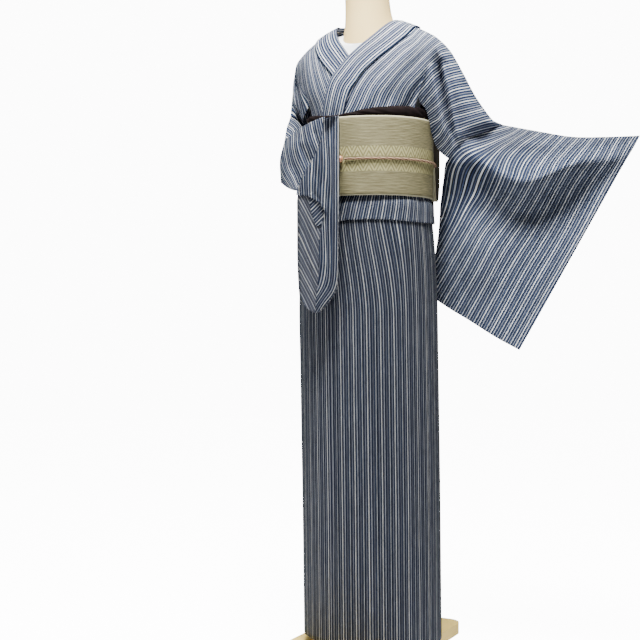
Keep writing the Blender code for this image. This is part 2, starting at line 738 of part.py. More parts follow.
def make_cord(cord_look, bead_look, group):
    """The cord round the belt, inside the bow, and the bead on it."""
    out = BELT_FIRST + BELT_STEP + BELT_CLOTH / 2 + CORD_RADIUS + GAP
    ends = BEAD_ANGLE, 360.0 - BEAD_ANGLE
    points = [belt_point(angle, CORD_HEIGHT, out) for angle in np.linspace(*ends, BELT_COLUMNS)]
    curve = bpy.data.curves.new("belt_cord", "CURVE")
    curve.dimensions = "3D"
    curve.bevel_depth = CORD_RADIUS
    curve.bevel_resolution = 1
    curve.use_fill_caps = True
    line = curve.splines.new("POLY")
    line.points.add(len(points) - 1)
    for place, point in zip(line.points, points):
        place.co = (point[0], point[1], point[2], 1.0)
    made = bpy.data.objects.new("belt_cord", curve)
    group.objects.link(made)
    curve.materials.append(cord_look)

    ball = bmesh.new()
    bmesh.ops.create_uvsphere(ball, u_segments=16, v_segments=10, radius=BEAD_RADIUS)
    bead = object_from("belt_bead", ball, bead_look, group)
    seat = belt_point(0.0, CORD_HEIGHT, out + BEAD_RADIUS - CORD_RADIUS)
    bead.location = seat


def ring(half_width, half_depth, shift, height, slope=0.0, lift=0.0):
    """A ring of the form, sloping down to the front and lifted at its sides."""
    points = []
    for step in range(FORM_COLUMNS):
        turn = 2 * math.pi * step / FORM_COLUMNS
        away = half_depth * math.sin(turn) - shift
        points.append((half_width * math.cos(turn), away, height + slope * away + lift * math.cos(turn) ** 2))
    return points


def make_form(cover, skin, group):
    rings = [ring(half_width, half_depth, shift, height, lift=lift)
             for height, half_width, half_depth, shift, lift in TORSO_FORM]
    rings.append(ring(*NECK_SEAM, NECK_BASE - 1.5 * GAP, slope=NECK_SLOPE))
    loft("form_cover", rings, cover, group)
    rings = []
    for rise, half_width, half_depth, shift in NECK_FORM:
        slope = NECK_SLOPE * (1.0 - rise / NECK_FORM[-1][0])
        rings.append(ring(half_width, half_depth, shift, NECK_BASE + rise, slope=slope))
    loft("form_neck", rings, skin, group)


def make_stand(wood, metal, group):
    outline = bmesh.new()
    bmesh.ops.create_cube(outline, size=1.0)
    bmesh.ops.scale(outline, vec=(2 * BOARD_HALF_WIDTH, 2 * BOARD_HALF_DEPTH, BOARD_THICK), verts=outline.verts)
    board = object_from("stand_board", outline, wood, group, smooth=False)
    board.location = (BOARD_SHIFT, 0.0, BOARD_THICK / 2)
    corners = board.data.attributes.new("bevel_weight_edge", "FLOAT", "EDGE")
    for edge in board.data.edges:
        ends = [board.data.vertices[index].co for index in edge.vertices]
        if abs(ends[0].z - ends[1].z) > BOARD_THICK / 2:
            corners.data[edge.index].value = 1.0
    rounding = board.modifiers.new("corners", "BEVEL")
    rounding.width = BOARD_CORNER
    rounding.segments = 6
    rounding.limit_method = "WEIGHT"

    bottom = BOARD_THICK + GAP
    top = TORSO_FORM[0][0] - GAP
    profile = (
        (0.0, top), (POLE_RADIUS, top), (POLE_RADIUS, bottom + 0.012), (FLANGE_RADIUS, bottom + 0.006),
        (FLANGE_RADIUS, bottom), (0.0, bottom),
    )
    turned_line = bmesh.new()
    points = [turned_line.verts.new((radius, 0.0, height)) for radius, height in profile]
    for start, end in zip(points, points[1:]):
        turned_line.edges.new((start, end))
    pole = object_from("stand_pole", turned_line, metal, group)
    spin = pole.modifiers.new("turned", "SCREW")
    spin.steps = 24
    spin.render_steps = 24
    spin.use_merge_vertices = True
    spin.merge_threshold = 0.0001


def build():
    clear_scene()
    group = collection_named("Summer kimono")
    striped = material("Striped cloth", STRIPED, 0.75)
    belt = material("Ribbed belt cloth", BELT_COLOUR, 0.7)
    scarf = material("Dark scarf", SCARF_COLOUR, 0.8)
    cord = material("Twisted cord", CORD_COLOUR, 0.7)
    bead = material("Coral bead", BEAD_COLOUR, 0.35)
    cover = material("White cover", COVER_COLOUR, 0.8)
    skin = material("Form surface", SKIN_COLOUR, 0.55)
    wood = material("Pale wood", WOOD_COLOUR, 0.5)
    metal = material("Pole metal", METAL_COLOUR, 0.35, 1.0)
    make_skirt(striped, group)
    make_fold_over(striped, group)
    make_upper_body(striped, group)
    make_collar(striped, group)
    make_left_sleeve(striped, group)
    make_right_sleeve(striped, group)
    make_belt(belt, scarf, group)
    make_cord(cord, bead, group)
    make_form(cover, skin, group)
    make_stand(wood, metal, group)


build()
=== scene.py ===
"""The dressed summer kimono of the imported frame, with its folds, weave and stripes.

Sizes are metres. The figure's axis is Z, its front looks along -Y and its left side is at +X. The forms'
tables repeat those of the part's source, and each piece of cloth is made finer here on the same form.
"""

import math

import bmesh
import bpy
import numpy as np
from mathutils import Matrix, Vector
from mathutils.bvhtree import BVHTree


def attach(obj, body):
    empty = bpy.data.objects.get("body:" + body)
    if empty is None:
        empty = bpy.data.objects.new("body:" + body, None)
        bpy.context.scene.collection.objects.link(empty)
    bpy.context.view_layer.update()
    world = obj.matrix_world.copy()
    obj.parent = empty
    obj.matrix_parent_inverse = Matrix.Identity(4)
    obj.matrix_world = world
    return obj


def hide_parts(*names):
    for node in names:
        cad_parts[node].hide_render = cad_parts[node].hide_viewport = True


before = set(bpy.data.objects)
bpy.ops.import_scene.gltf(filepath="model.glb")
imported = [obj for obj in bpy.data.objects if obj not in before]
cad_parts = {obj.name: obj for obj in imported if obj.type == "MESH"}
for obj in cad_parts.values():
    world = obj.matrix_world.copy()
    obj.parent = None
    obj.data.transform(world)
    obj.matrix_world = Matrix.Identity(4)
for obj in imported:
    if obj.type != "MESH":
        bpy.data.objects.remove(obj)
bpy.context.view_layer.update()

# Thickness of the solids' cloth, collar and belt, the collar's lift, and the gap between pieces
CLOTH = 0.0014
BAND = 0.0028
BAND_LIFT = 0.0011
BELT_CLOTH = 0.0022
GAP = 0.0003
# The visible cloth's walls
CLOTH_WALL = 0.0009
CUFF_WALL = 0.0014
BELT_WALL = 0.0018
THICK_WALL = 0.0024

# Heights of the dressed figure
WAIST_SPLIT = 1.020
BELT_BOTTOM = 0.970
BELT_TOP = 1.133
SHOULDER_TOP = 1.357
SHOULDER_FALL = 2.2
CHEST_BASE = 1.10

# The wrapped skirt, for its under layer: height, half width, half depth, sideways shift
SKIRT_FORM = (
    (0.044, 0.146, 0.125, 0.006), (0.3, 0.147, 0.1245, 0.003), (0.6, 0.148, 0.123, -0.002),
    (0.78, 0.1475, 0.121, -0.005), (0.86, 0.143, 0.118, -0.005), (0.92, 0.136, 0.114, -0.004),
    (0.975, 0.124, 0.108, -0.003), (1.02, 0.12, 0.106, -0.002),
)
SKIRT_BOTTOM = 0.044
SKIRT_TOP = 1.014
WRAP_STEP = 0.005
# Angles are counted from the front centre, towards the figure's left side
OVERLAP_SEAM = -10.0
OVERLAP_EDGE = -68.0
SIDE_SEAM = 76.0
BACK_SEAM = 180.0

# The tucked fold below the belt, from outside to inside: distance out from the skirt, height
FOLD_SECTION = (
    (0.0092, 1.016), (0.0092, 0.985), (0.0093, 0.97), (0.0125, 0.958), (0.014, 0.938), (0.0138, 0.925),
    (0.0125, 0.9205), (0.0108, 0.919), (0.0095, 0.922), (0.009, 0.935), (0.0075, 0.955), (0.0074, 0.985),
    (0.0074, 1.016),
)
# The left fold laps over the front to this angle, just past the right one's end
FOLD_MEETS = -61.2

# The upper body's cloth: height, half width, half depth in front, half depth behind
CHEST_FORM = (
    (1.02, 0.118, 0.101, 0.104), (1.1, 0.119, 0.102, 0.105), (1.125, 0.12, 0.1035, 0.1055),
    (1.165, 0.128, 0.1105, 0.106), (1.205, 0.148, 0.1175, 0.105), (1.25, 0.164, 0.12, 0.104),
    (1.3, 0.18, 0.118, 0.102), (1.36, 0.19, 0.118, 0.1),
)
# Where a front panel's inner edge runs under its collar: height, distance past the centre
FRONT_EDGE = (
    (1.02, -0.06), (1.1, -0.05), (1.157, -0.034), (1.21, -0.014), (1.25, 0.016), (1.28, 0.04), (1.31, 0.063),
    (1.335, 0.088),
)
# The same for the back, where the centre seam turns into the neckline
BACK_EDGE = (
    (1.02, 0.0004), (1.25, 0.0004), (1.275, 0.008), (1.3, 0.035), (1.335, 0.088),
)
PANEL_REACH = 0.85
LEFT_OVER = 0.0073
DRAPE_STRIDE = 0.16

# The right shoulder's drape hangs straight down past the missing arm. Each section runs over the shoulder:
# front edge, front middle, fold, back middle, back edge
RIGHT_DRAPE = (
    ((-0.109, -0.05, 1.173), (-0.148, -0.041, 1.235), (-0.167, 0.0, 1.296), (-0.15, 0.045, 1.235),
     (-0.109, 0.052, 1.173)),
    ((-0.145, -0.036, 1.16), (-0.16, -0.03, 1.225), (-0.181, 0.0, 1.278), (-0.166, 0.046, 1.225),
     (-0.15, 0.052, 1.16)),
    ((-0.15, -0.026, 1.158), (-0.168, -0.028, 1.19), (-0.188, -0.002, 1.23), (-0.18, 0.03, 1.18),
     (-0.168, 0.036, 1.12)),
)

# The sleeves' tables are laid out across, away and up in a plane turned by this angle from the front
PULL_TURN = math.radians(28.0)
COSINE = math.cos(PULL_TURN)
SINE = math.sin(PULL_TURN)
SLEEVE_ROWS = (0.0, 0.14, 0.26, 0.42, 0.68, 1.0)
# The left sleeve's front layer, pulled out sideways by the top of its cuff. A section for each share of
# the width from the armhole to the cuff, with the fold, valley, ridge, shade, middle and hem on it
LEFT_SLEEVE = (
    (0.0, ((0.278, -0.05, 1.126), (0.235, -0.054, 1.108), (0.195, -0.062, 1.088), (0.157, -0.012, 1.005),
     (0.148, 0.025, 0.89), (0.143, 0.055, 0.772))),
    (0.25, ((0.346, -0.08, 1.108), (0.281, -0.085, 1.051), (0.247, -0.115, 1.029), (0.224, -0.09, 0.974),
     (0.186, -0.06, 0.872), (0.162, -0.01, 0.745))),
    (0.5, ((0.409, -0.115, 1.091), (0.333, -0.12, 1.03), (0.31, -0.155, 0.997), (0.285, -0.125, 0.944),
     (0.251, -0.105, 0.855), (0.206, -0.07, 0.713))),
    (0.75, ((0.47, -0.15, 1.085), (0.433, -0.155, 1.054), (0.408, -0.175, 1.029), (0.38, -0.155, 0.965),
     (0.332, -0.145, 0.853), (0.247, -0.13, 0.682))),
    (1.0, ((0.531, -0.18, 1.083), (0.517, -0.18, 1.057), (0.502, -0.18, 1.032), (0.463, -0.18, 0.963),
     (0.391, -0.18, 0.835), (0.29, -0.18, 0.655))),
)
# How far down its front and back layers a sleeve is sewn on
ARMHOLE_SHARES = (0.34, 0.34)
CUFF_SHARE = 0.47
SLEEVE_GAP = 0.030

# The right sleeve's elbow part, brought round to the front: share, fold, middle and hem of its face
ELBOW_ROWS = (0.0, 0.5, 1.0)
RIGHT_ELBOW = (
    (0.0, ((-0.193, -0.006, 1.166), (-0.186, 0.002, 1.118), (-0.174, 0.0, 1.07))),
    (0.25, ((-0.174, -0.062, 1.12), (-0.174, -0.078, 1.07), (-0.162, -0.086, 1.012))),
    (0.5, ((-0.13, -0.112, 1.108), (-0.15, -0.118, 1.058), (-0.15, -0.122, 1.006))),
    (0.75, ((-0.08, -0.146, 1.113), (-0.098, -0.15, 1.05), (-0.104, -0.158, 0.985))),
    (1.0, ((-0.03, -0.152, 1.112), (-0.04, -0.156, 1.045), (-0.048, -0.162, 0.975))),
)
ELBOW_GAP = 0.014
ELBOW_ARMHOLE_SHARES = (0.36, 0.80)
# The right sleeve's front part hangs from the cuff's top and turns back along the hip. Down its face:
# share, left edge's reach and height, right edge's reach and height, how near the viewer the left edge,
# middle and right lie, and how far the turned part runs back
FRONT_SLEEVE = (
    (0.0, -0.093, 1.103, -0.069, 1.126, -0.134, -0.14, -0.148, 0.004),
    (0.14, -0.11, 1.06, -0.069, 1.07, -0.137, -0.145, -0.151, 0.006),
    (0.34, -0.148, 0.985, -0.069, 0.985, -0.133, -0.147, -0.152, 0.014),
    (0.42, -0.154, 0.955, -0.069, 0.95, -0.128, -0.146, -0.151, 0.04),
    (0.62, -0.154, 0.87, -0.07, 0.87, -0.124, -0.144, -0.148, 0.056),
    (0.8, -0.152, 0.8, -0.071, 0.805, -0.122, -0.142, -0.145, 0.056),
    (0.92, -0.149, 0.763, -0.073, 0.778, -0.124, -0.14, -0.142, 0.05),
    (1.0, -0.146, 0.752, -0.078, 0.768, -0.128, -0.136, -0.138, 0.044),
)
FRONT_SLEEVE_DROP = 0.030
FRONT_SLEEVE_GAP = 0.016

# The collar's left half from the shoulder down: reach and height of its neck edge, then of its outer edge
COLLAR_FRONT = (
    (0.07, 1.35, 0.114, 1.332), (0.06, 1.337, 0.108, 1.305), (0.042, 1.31, 0.088, 1.277),
    (0.02, 1.285, 0.062, 1.25), (0.0, 1.262, 0.04, 1.228), (-0.022, 1.235, 0.024, 1.205),
    (-0.04, 1.21, 0.008, 1.182), (-0.058, 1.157, -0.008, 1.133), (-0.072, 1.11, -0.022, 1.09),
)
# Its back from the centre to the shoulder, standing off the nape: neck edge, then outer edge
COLLAR_BACK = (
    ((0.0, 0.09, 1.336), (0.0, 0.087, 1.286)), ((0.03, 0.081, 1.341), (0.038, 0.082, 1.294)),
    ((0.056, 0.048, 1.352), (0.084, 0.058, 1.32)), ((0.068, 0.022, 1.354), (0.106, 0.026, 1.333)),
)
# The collar's folded width, and where its stripes start
COLLAR_WIDTH = 0.056
COLLAR_START = 0.0105

# The belt: height, half width, half depth of its inner wrap
BELT_FORM = (
    (BELT_BOTTOM, 0.135, 0.124), (1.05, 0.136, 0.125), (BELT_TOP, 0.1345, 0.122),
)
BELT_SHIFT = -0.003
# The belt winds from under its own lap to its end behind the left hip, each turn a step further out
BELT_START = -300.0
BELT_LAP_START = -275.0
BELT_LAP_END = -240.0
BELT_END = 102.0
BELT_FIRST = 0.0012
BELT_STEP = 0.0030
# The scarf's section: distance from the belt's inner wrap, share of its rise over the belt's top, and drop
SCARF_SECTION = (
    (-0.0022, 0.0, -0.012), (-0.0022, 0.0, 0.0012), (0.0, 0.4, 0.0), (0.0, 0.75, 0.0), (-0.0025, 1.0, 0.0),
)
# The scarf over the belt: angle, height of its top edge
SCARF_TOP = (
    (-180.0, 1.15), (-90.0, 1.15), (-45.0, 1.147), (-8.0, 1.138), (30.0, 1.15), (80.0, 1.156), (180.0, 1.15),
)
CORD_HEIGHT = 1.0445
CORD_RADIUS = 0.0024
# Half the angle the bead takes up on the cord
BEAD_ANGLE = 3.6
BOW_HALF_WIDTH = 0.090
# How far the wrap's slack, the bow's bulges and the scarf's puckers stand out
BELT_SLACK = 0.0007
BOW_BULGE = 0.00072
SCARF_PUCKER = 0.0011
# The bow's strip behind the belt: down over its top, round its lower fold, up inside and down to the
# tail's end: away, height
BOW_SECTION = (
    (0.1264, 1.136), (0.133, 1.158), (0.147, 1.166), (0.164, 1.154), (0.173, 1.11), (0.174, 1.05),
    (0.17, 0.996), (0.161, 0.98), (0.152, 0.988), (0.147, 1.03), (0.1436, 1.058), (0.1399, 1.06),
    (0.1369, 1.044), (0.1376, 1.0), (0.143, 0.938),
)

# The dress form: height, half width, half depth, shift to the front, rise of its sides to the shoulders
TORSO_FORM = (
    (0.7, 0.098, 0.084, 0.0, 0.0), (0.716, 0.114, 0.096, 0.0, 0.0), (0.76, 0.126, 0.103, 0.0, 0.0),
    (0.84, 0.128, 0.104, 0.0, 0.0), (0.93, 0.114, 0.096, 0.0, 0.0), (1.01, 0.102, 0.09, 0.0, 0.0),
    (1.09, 0.104, 0.092, 0.0, 0.0), (1.16, 0.108, 0.094, 0.0, 0.0), (1.22, 0.122, 0.088, 0.0, 0.004),
    (1.262, 0.128, 0.074, 0.002, 0.015), (1.28, 0.116, 0.062, 0.004, 0.04),
    (1.292, 0.101, 0.057, 0.004, 0.0402),
)
# Its neck: height above its base, half width, half depth, shift to the front
NECK_FORM = (
    (0.0, 0.056, 0.054, 0.004), (0.03, 0.05, 0.05, 0.008), (0.07, 0.047, 0.0475, 0.014),
    (0.109, 0.046, 0.047, 0.024),
)
NECK_SEAM = (0.0590, 0.0565, 0.004)
NECK_BASE = 1.333
NECK_SLOPE = 0.60
FORM_COLUMNS = 112

# The camera's distance, eye height, shift to the side and lens
EYE_DISTANCE = 2.5
EYE_HEIGHT = 0.715
EYE_SHIFT = -0.1075
LENS = 65.4
# How bright the surroundings are as light and as seen, and the floor's radius
WORLD_LIGHT = 0.20
STAGE_WHITE = 12.0
FLOOR_REACH = 6.0
# The lights: place, where they aim, width and height, power
LIGHTS = {
    "key": ((0.30, -0.80, 2.75), (0.1, 0.0, 0.9), (0.9, 0.7), 190.0),
    "fill": ((-1.8, -2.4, 1.5), (0.0, 0.0, 0.9), (1.8, 2.0), 24.0),
    "back": ((-0.4, 1.6, 2.5), (0.0, 0.0, 1.0), (1.6, 1.2), 40.0),
}

# One repeat of the stripes, where each band ends in it in millimetres, with its colour's name, and the
# pitch of the warp and weft
REPEAT = 0.028
BANDS = (
    (1.9, "white"), (3.5, "black"), (4.5, "blue"), (5.8, "ink"), (7.7, "bright"), (9.2, "ink"),
    (10.5, "slate"), (11.5, "navy"), (13.1, "grey"), (14.5, "ink"), (15.7, "blue"), (17.0, "black"),
    (18.7, "light"), (20.3, "black"), (21.7, "slate"), (22.9, "ink"), (24.5, "pale"), (26.0, "ink"),
    (27.0, "blue"), (28.0, "black"),
)
THREADS = {
    "white": (0.92, 0.935, 0.95), "light": (0.62, 0.655, 0.71), "bright": (0.52, 0.555, 0.63),
    "pale": (0.34, 0.37, 0.44), "grey": (0.24, 0.26, 0.31), "blue": (0.078, 0.108, 0.195),
    "slate": (0.034, 0.05, 0.104), "navy": (0.01, 0.015, 0.036), "ink": (0.006, 0.008, 0.017),
    "black": (0.003, 0.004, 0.007),
}
WARP = 0.0011
WEFT = 0.0013
# What a worn-out stripe fades to, and the bag's plain inside
GROUND = (0.038, 0.048, 0.078)
INSIDE = (0.21, 0.215, 0.245)
# The belt's rib pitch, border width, zigzag bands' heights, and the zigzag's width, row pitch and depth
RIB = 0.0030
BORDER = 0.0022
BELT_BANDS = ((1.0195, 1.0430), (1.0500, 1.0705))
ZIGZAG = 0.0225
ZIGZAG_ROW = 0.0125
ZIGZAG_DEPTH = 0.044
# The length of one turn of the cord's strands
CORD_LAY = 0.016

# Stripes that run down the skirt and belt are laid out by angle, as if round a cylinder of this radius
SKIRT_GIRTH = 0.1485
TUCK_GIRTH = 0.1425
BELT_GIRTH = 0.135
# A column of points for each of these degrees, and how far the skirt's stripes lean at its top
COLUMN_ANGLE = 1.6
SKIRT_ROWS = 100
SKIRT_LEAN = 0.034
# The heights over which that lean comes in, and the angle where it starts and how soon it is whole
LEAN_HEIGHTS = (0.72, 1.0)
LEAN_SIDE = 72.0
LEAN_ANGLES = (0.0, 45.0)
# The skirt's lengthwise folds: angle, width in degrees, height
SKIRT_FOLDS = (
    (-10.0, 1.9, -0.0034), (-5.5, 4.0, 0.0014), (8.0, 5.0, -0.0012), (24.0, 6.0, 0.0014),
    (38.0, 5.0, -0.0014), (52.0, 6.0, 0.0012), (66.0, 5.0, -0.0016), (-24.0, 5.0, 0.0015),
    (-40.0, 6.0, -0.0018), (-54.0, 4.0, 0.0012), (95.0, 6.0, 0.0015), (112.0, 6.0, -0.0018),
    (132.0, 7.0, 0.0016), (152.0, 6.0, -0.0014), (176.0, 2.5, -0.002), (-95.0, 6.0, 0.0016),
    (-112.0, 6.0, -0.0014), (-132.0, 7.0, 0.0018), (-152.0, 6.0, -0.0012),
)
# A fold higher than this stays the same all the way down
STEADY_FOLD = 0.003
# How deep the folds may go, the heights over which that sets in and they end, and their share on the left
DEEPEST_FOLD = -0.006
FOLD_STARTS = (0.16, 0.45)
FOLD_ENDS = (0.86, 0.93)
LEFT_FOLDS = 0.9
# The skirt's panels: the angles of their two edges, whether they lie over the right side's, where their
# stripes start, and their flat size
SKIRT_PANELS = {
    "left_skirt_back": (BACK_SEAM, SIDE_SEAM, True, 0.0, (0.27, 0.97)),
    "left_skirt_front": (SIDE_SEAM, OVERLAP_SEAM, True, 0.004, (0.22, 0.97)),
    "left_skirt_overlap": (OVERLAP_SEAM, OVERLAP_EDGE, True, 0.011, (0.15, 0.97)),
    "right_skirt_back": (-BACK_SEAM, -SIDE_SEAM, False, 0.007, (0.26, 0.97)),
    "right_skirt_front": (-SIDE_SEAM, -OVERLAP_SEAM, False, 0.015, (0.22, 0.97)),
    "right_skirt_overlap": (-OVERLAP_SEAM, -OVERLAP_EDGE, False, 0.002, (0.15, 0.97)),
}
# The tucked fold's parts, the same way, and how much of its loft it loses at its lower turn
TUCK_PARTS = {
    "left_tucked_fold": (BACK_SEAM - 0.2, FOLD_MEETS + 0.2, 0.010, (0.60, 0.20)),
    "right_tucked_fold": (0.2 - BACK_SEAM, FOLD_MEETS - 0.2, 0.002, (0.29, 0.20)),
}
FOLD_PRESS = 0.62
# The heights over which it is pressed, its wave and how far out that is whole, its sag and where that
# starts, and how much its stripes slant
TUCK_PRESSED = (0.925, 0.96)
TUCK_WAVE = 0.0011
TUCK_LOOSE = (0.009, 0.0135)
TUCK_SAG = 0.0022
TUCK_SAG_TOP = 0.965
TUCK_SLANT = 0.22

# The left shoulder's drape in the same turned plane: across, away and height of its free edge, ridge,
# valley, middle, shoulder fold, back middle and back edge, with the cloth's own distance at the end
DRAPE_PLACES = (0.0, 0.16, 0.27, 0.38, 0.5, 0.74, 1.0)
LEFT_PLEAT = (
    ((0.087, -0.088, 1.166), (0.12, -0.101, 1.24), (0.142, -0.086, 1.252), (0.154, -0.088, 1.26),
     (0.164, -0.078, 1.275), (0.154, -0.031, 1.235), (0.121, -0.005, 1.173), 0.188),
    ((0.104, -0.078, 1.164), (0.127, -0.102, 1.2205), (0.151, -0.082, 1.217), (0.17, -0.092, 1.221),
     (0.191, -0.08, 1.226), (0.167, -0.032, 1.23), (0.156, -0.021, 1.16), 0.244),
    ((0.115, -0.068, 1.152), (0.134, -0.1, 1.192), (0.155, -0.078, 1.184), (0.179, -0.092, 1.193),
     (0.203, -0.078, 1.203), (0.172, -0.029, 1.21), (0.168, -0.012, 1.135), 0.272),
    ((0.121, -0.06, 1.132), (0.14, -0.096, 1.165), (0.161, -0.073, 1.1535), (0.19, -0.09, 1.167),
     (0.218, -0.074, 1.177), (0.181, -0.026, 1.195), (0.179, -0.004, 1.11), 0.3),
    ((0.128, -0.052, 1.106), (0.146, -0.09, 1.135), (0.17, -0.068, 1.124), (0.203, -0.086, 1.143),
     (0.234, -0.068, 1.156), (0.2, -0.018, 1.155), (0.199, 0.008, 1.07), 0.328),
    ((0.142, -0.044, 1.075), (0.159, -0.082, 1.102), (0.185, -0.064, 1.095), (0.218, -0.08, 1.121),
     (0.252, -0.06, 1.136), (0.219, -0.014, 1.115), (0.215, 0.013, 1.035), 0.356),
)
# The same places on the right drape, and the cloth's own distance at its sections
RIGHT_PLACES = (0.0, 0.26, 0.5, 0.74, 1.0)
RIGHT_DISTANCES = (0.185, 0.215, 0.260)
# The cloth's width on the chest, and from the last section to the seam
CHEST_CLOTH = 0.160
SEAM_STEP = 0.030
# Points from the waist to the shoulder fold, and lines along a unit of the panel's width
LEFT_ROWS = 96
LEFT_PACE = 80
RIGHT_ROWS = 71
RIGHT_PACE = 60

# Stripe lines of the left chest, drape and sleeve: a stripe's number, and where it shows, across and up
LEFT_STRIPES = (
    (-4, ((-0.045, 1.177), (-0.03, 1.209), (-0.004, 1.248), (0.03, 1.28), (0.06, 1.306), (0.092, 1.328))),
    (-3, ((-0.019, 1.175), (-0.006, 1.205), (0.015, 1.237), (0.043, 1.265), (0.075, 1.295), (0.11, 1.325))),
    (-2, ((0.009, 1.175), (0.019, 1.201), (0.037, 1.227), (0.057, 1.25), (0.088, 1.28), (0.129, 1.319))),
    (-1, ((0.037, 1.177), (0.045, 1.197), (0.056, 1.216), (0.071, 1.236), (0.103, 1.27), (0.125, 1.291),
     (0.148, 1.31))),
    (0, ((0.064, 1.181), (0.073, 1.203), (0.084, 1.221), (0.11, 1.248), (0.131, 1.27), (0.15, 1.287),
     (0.174, 1.293))),
    (1, ((0.092, 1.186), (0.101, 1.201), (0.116, 1.218), (0.135, 1.24), (0.155, 1.259), (0.166, 1.264),
     (0.189, 1.269))),
    (2, ((0.116, 1.181), (0.127, 1.194), (0.141, 1.209), (0.158, 1.229), (0.17, 1.236), (0.2, 1.244))),
    (3, ((0.123, 1.16), (0.133, 1.169), (0.146, 1.179), (0.16, 1.197), (0.172, 1.207), (0.213, 1.218))),
    (4, ((0.125, 1.134), (0.135, 1.141), (0.148, 1.149), (0.163, 1.169), (0.178, 1.177), (0.23, 1.191))),
    (5, ((0.138, 1.106), (0.15, 1.117), (0.166, 1.143), (0.185, 1.154), (0.243, 1.17))),
    (6, ((0.15, 1.087), (0.161, 1.098), (0.174, 1.117), (0.193, 1.126), (0.256, 1.147))),
    (7.2, ((0.159, 1.059), (0.17, 1.074), (0.185, 1.091), (0.204, 1.1), (0.258, 1.115), (0.305, 1.13))),
    (9.4, ((0.346, 1.12), (0.322, 1.104), (0.29, 1.08), (0.273, 1.059), (0.258, 1.027), (0.243, 0.984),
     (0.199, 0.913), (0.155, 0.838))),
    (11.4, ((0.404, 1.114), (0.376, 1.087), (0.35, 1.059), (0.331, 1.025), (0.305, 0.969), (0.251, 0.893),
     (0.163, 0.739))),
    (13.4, ((0.461, 1.109), (0.439, 1.085), (0.413, 1.055), (0.391, 1.016), (0.368, 0.967), (0.304, 0.867),
     (0.215, 0.71))),
    (15.4, ((0.518, 1.108), (0.499, 1.076), (0.464, 1.025), (0.43, 0.96), (0.356, 0.837), (0.268, 0.68))),
    (17.4, ((0.58, 1.113), (0.494, 0.96), (0.408, 0.807), (0.32, 0.651))),
)
# Listed folds: across and up at both ends, the width on each side, and the height towards the
# viewer. Soft ones of the left chest, then the left drape's ridge, its dark valley and those beside them
CHEST_FOLDS = (
    (-0.02, 1.15, 0.075, 1.265, 0.01, 0.008, 0.0022), (0.015, 1.14, 0.095, 1.255, 0.008, 0.01, -0.0024),
    (0.045, 1.14, 0.115, 1.245, 0.007, 0.008, 0.0022), (0.07, 1.15, 0.118, 1.225, 0.006, 0.007, -0.002),
)
DRAPE_FOLDS = (
    (0.13, 1.266, 0.167, 1.106, 0.01, 0.004, 0.006), (0.15, 1.27, 0.184, 1.1, 0.0125, 0.003, -0.027),
    (0.156, 1.265, 0.19, 1.105, 0.004, 0.007, 0.004), (0.2, 1.23, 0.235, 1.17, 0.009, 0.009, -0.003),
)
# The heights over which the chest's folds come in, and the lines over which the drape's come and go
CHEST_FOLDS_START = (1.135, 1.165)
DRAPE_FOLDS_START = (0.95, 1.1)
DRAPE_FOLDS_END = (2.0, 2.12)
# The right body's, and the left sleeve's
RIGHT_FOLDS = (
    (-0.16, 1.24, -0.147, 1.105, 0.005, 0.015, -0.042), (-0.135, 1.27, -0.133, 1.16, 0.006, 0.006, 0.003),
    (-0.118, 1.24, -0.115, 1.15, 0.006, 0.008, -0.003),
)
LEFT_SLEEVE_FOLDS = (
    (0.3, 1.085, 0.38, 1.07, 0.01, 0.012, 0.003), (0.175, 1.06, 0.26, 0.96, 0.016, 0.014, -0.005),
    (0.255, 0.955, 0.345, 0.935, 0.02, 0.016, -0.006), (0.355, 0.96, 0.47, 1.01, 0.018, 0.014, -0.004),
    (0.185, 0.96, 0.235, 0.8, 0.022, 0.02, 0.004), (0.29, 0.9, 0.235, 0.74, 0.018, 0.02, -0.004),
    (0.38, 0.9, 0.3, 0.72, 0.016, 0.02, 0.003), (0.17, 0.87, 0.2, 0.76, 0.012, 0.014, -0.0035),
)
# The big fold across the left sleeve: share of the way down, and how far it stands forward
SLEEVE_FOLD = (
    (0.0, 0.0), (0.1, -0.005), (0.2, 0.006), (0.262, 0.016), (0.285, 0.012), (0.4, -0.016), (0.47, -0.024),
    (0.53, -0.02), (0.68, -0.004), (0.8, 0.002), (1.0, 0.0),
)
# How far the sleeve's edge by the body moves outwards at a height, and how far it turns away
SLEEVE_EDGE = (
    (0.74, -0.01), (0.77, -0.0085), (0.865, 0.0), (0.94, 0.005), (0.985, 0.004), (1.02, -0.003),
    (1.055, -0.014), (1.085, -0.006), (1.11, 0.0),
)
SLEEVE_TURN = 0.016

# Stripe lines of the right sleeve's elbow part, as above, and its folds where they show
ELBOW_STRIPES = (
    (-1, ((-0.101, 1.145), (-0.097, 1.121), (-0.092, 1.1))),
    (0, ((-0.125, 1.136), (-0.12, 1.113), (-0.112, 1.089))),
    (1, ((-0.146, 1.123), (-0.142, 1.098), (-0.133, 1.074), (-0.127, 1.057))),
    (2, ((-0.163, 1.115), (-0.163, 1.089), (-0.159, 1.068), (-0.15, 1.046), (-0.144, 1.033))),
    (3, ((-0.178, 1.059), (-0.174, 1.042), (-0.163, 1.02), (-0.155, 1.001))),
    (4, ((-0.191, 1.037), (-0.183, 1.02), (-0.172, 1.003), (-0.161, 0.986))),
)
ELBOW_FOLDS = (
    (-0.148, 1.088, -0.129, 1.048, 0.006, 0.007, -0.0055),
    (-0.166, 1.05, -0.152, 0.996, 0.006, 0.007, -0.0055),
    (-0.163, 1.105, -0.143, 1.035, 0.006, 0.006, 0.0045),
    (-0.187, 1.041, -0.168, 0.992, 0.006, 0.006, 0.004), (-0.12, 1.12, -0.104, 1.08, 0.006, 0.006, -0.0035),
)
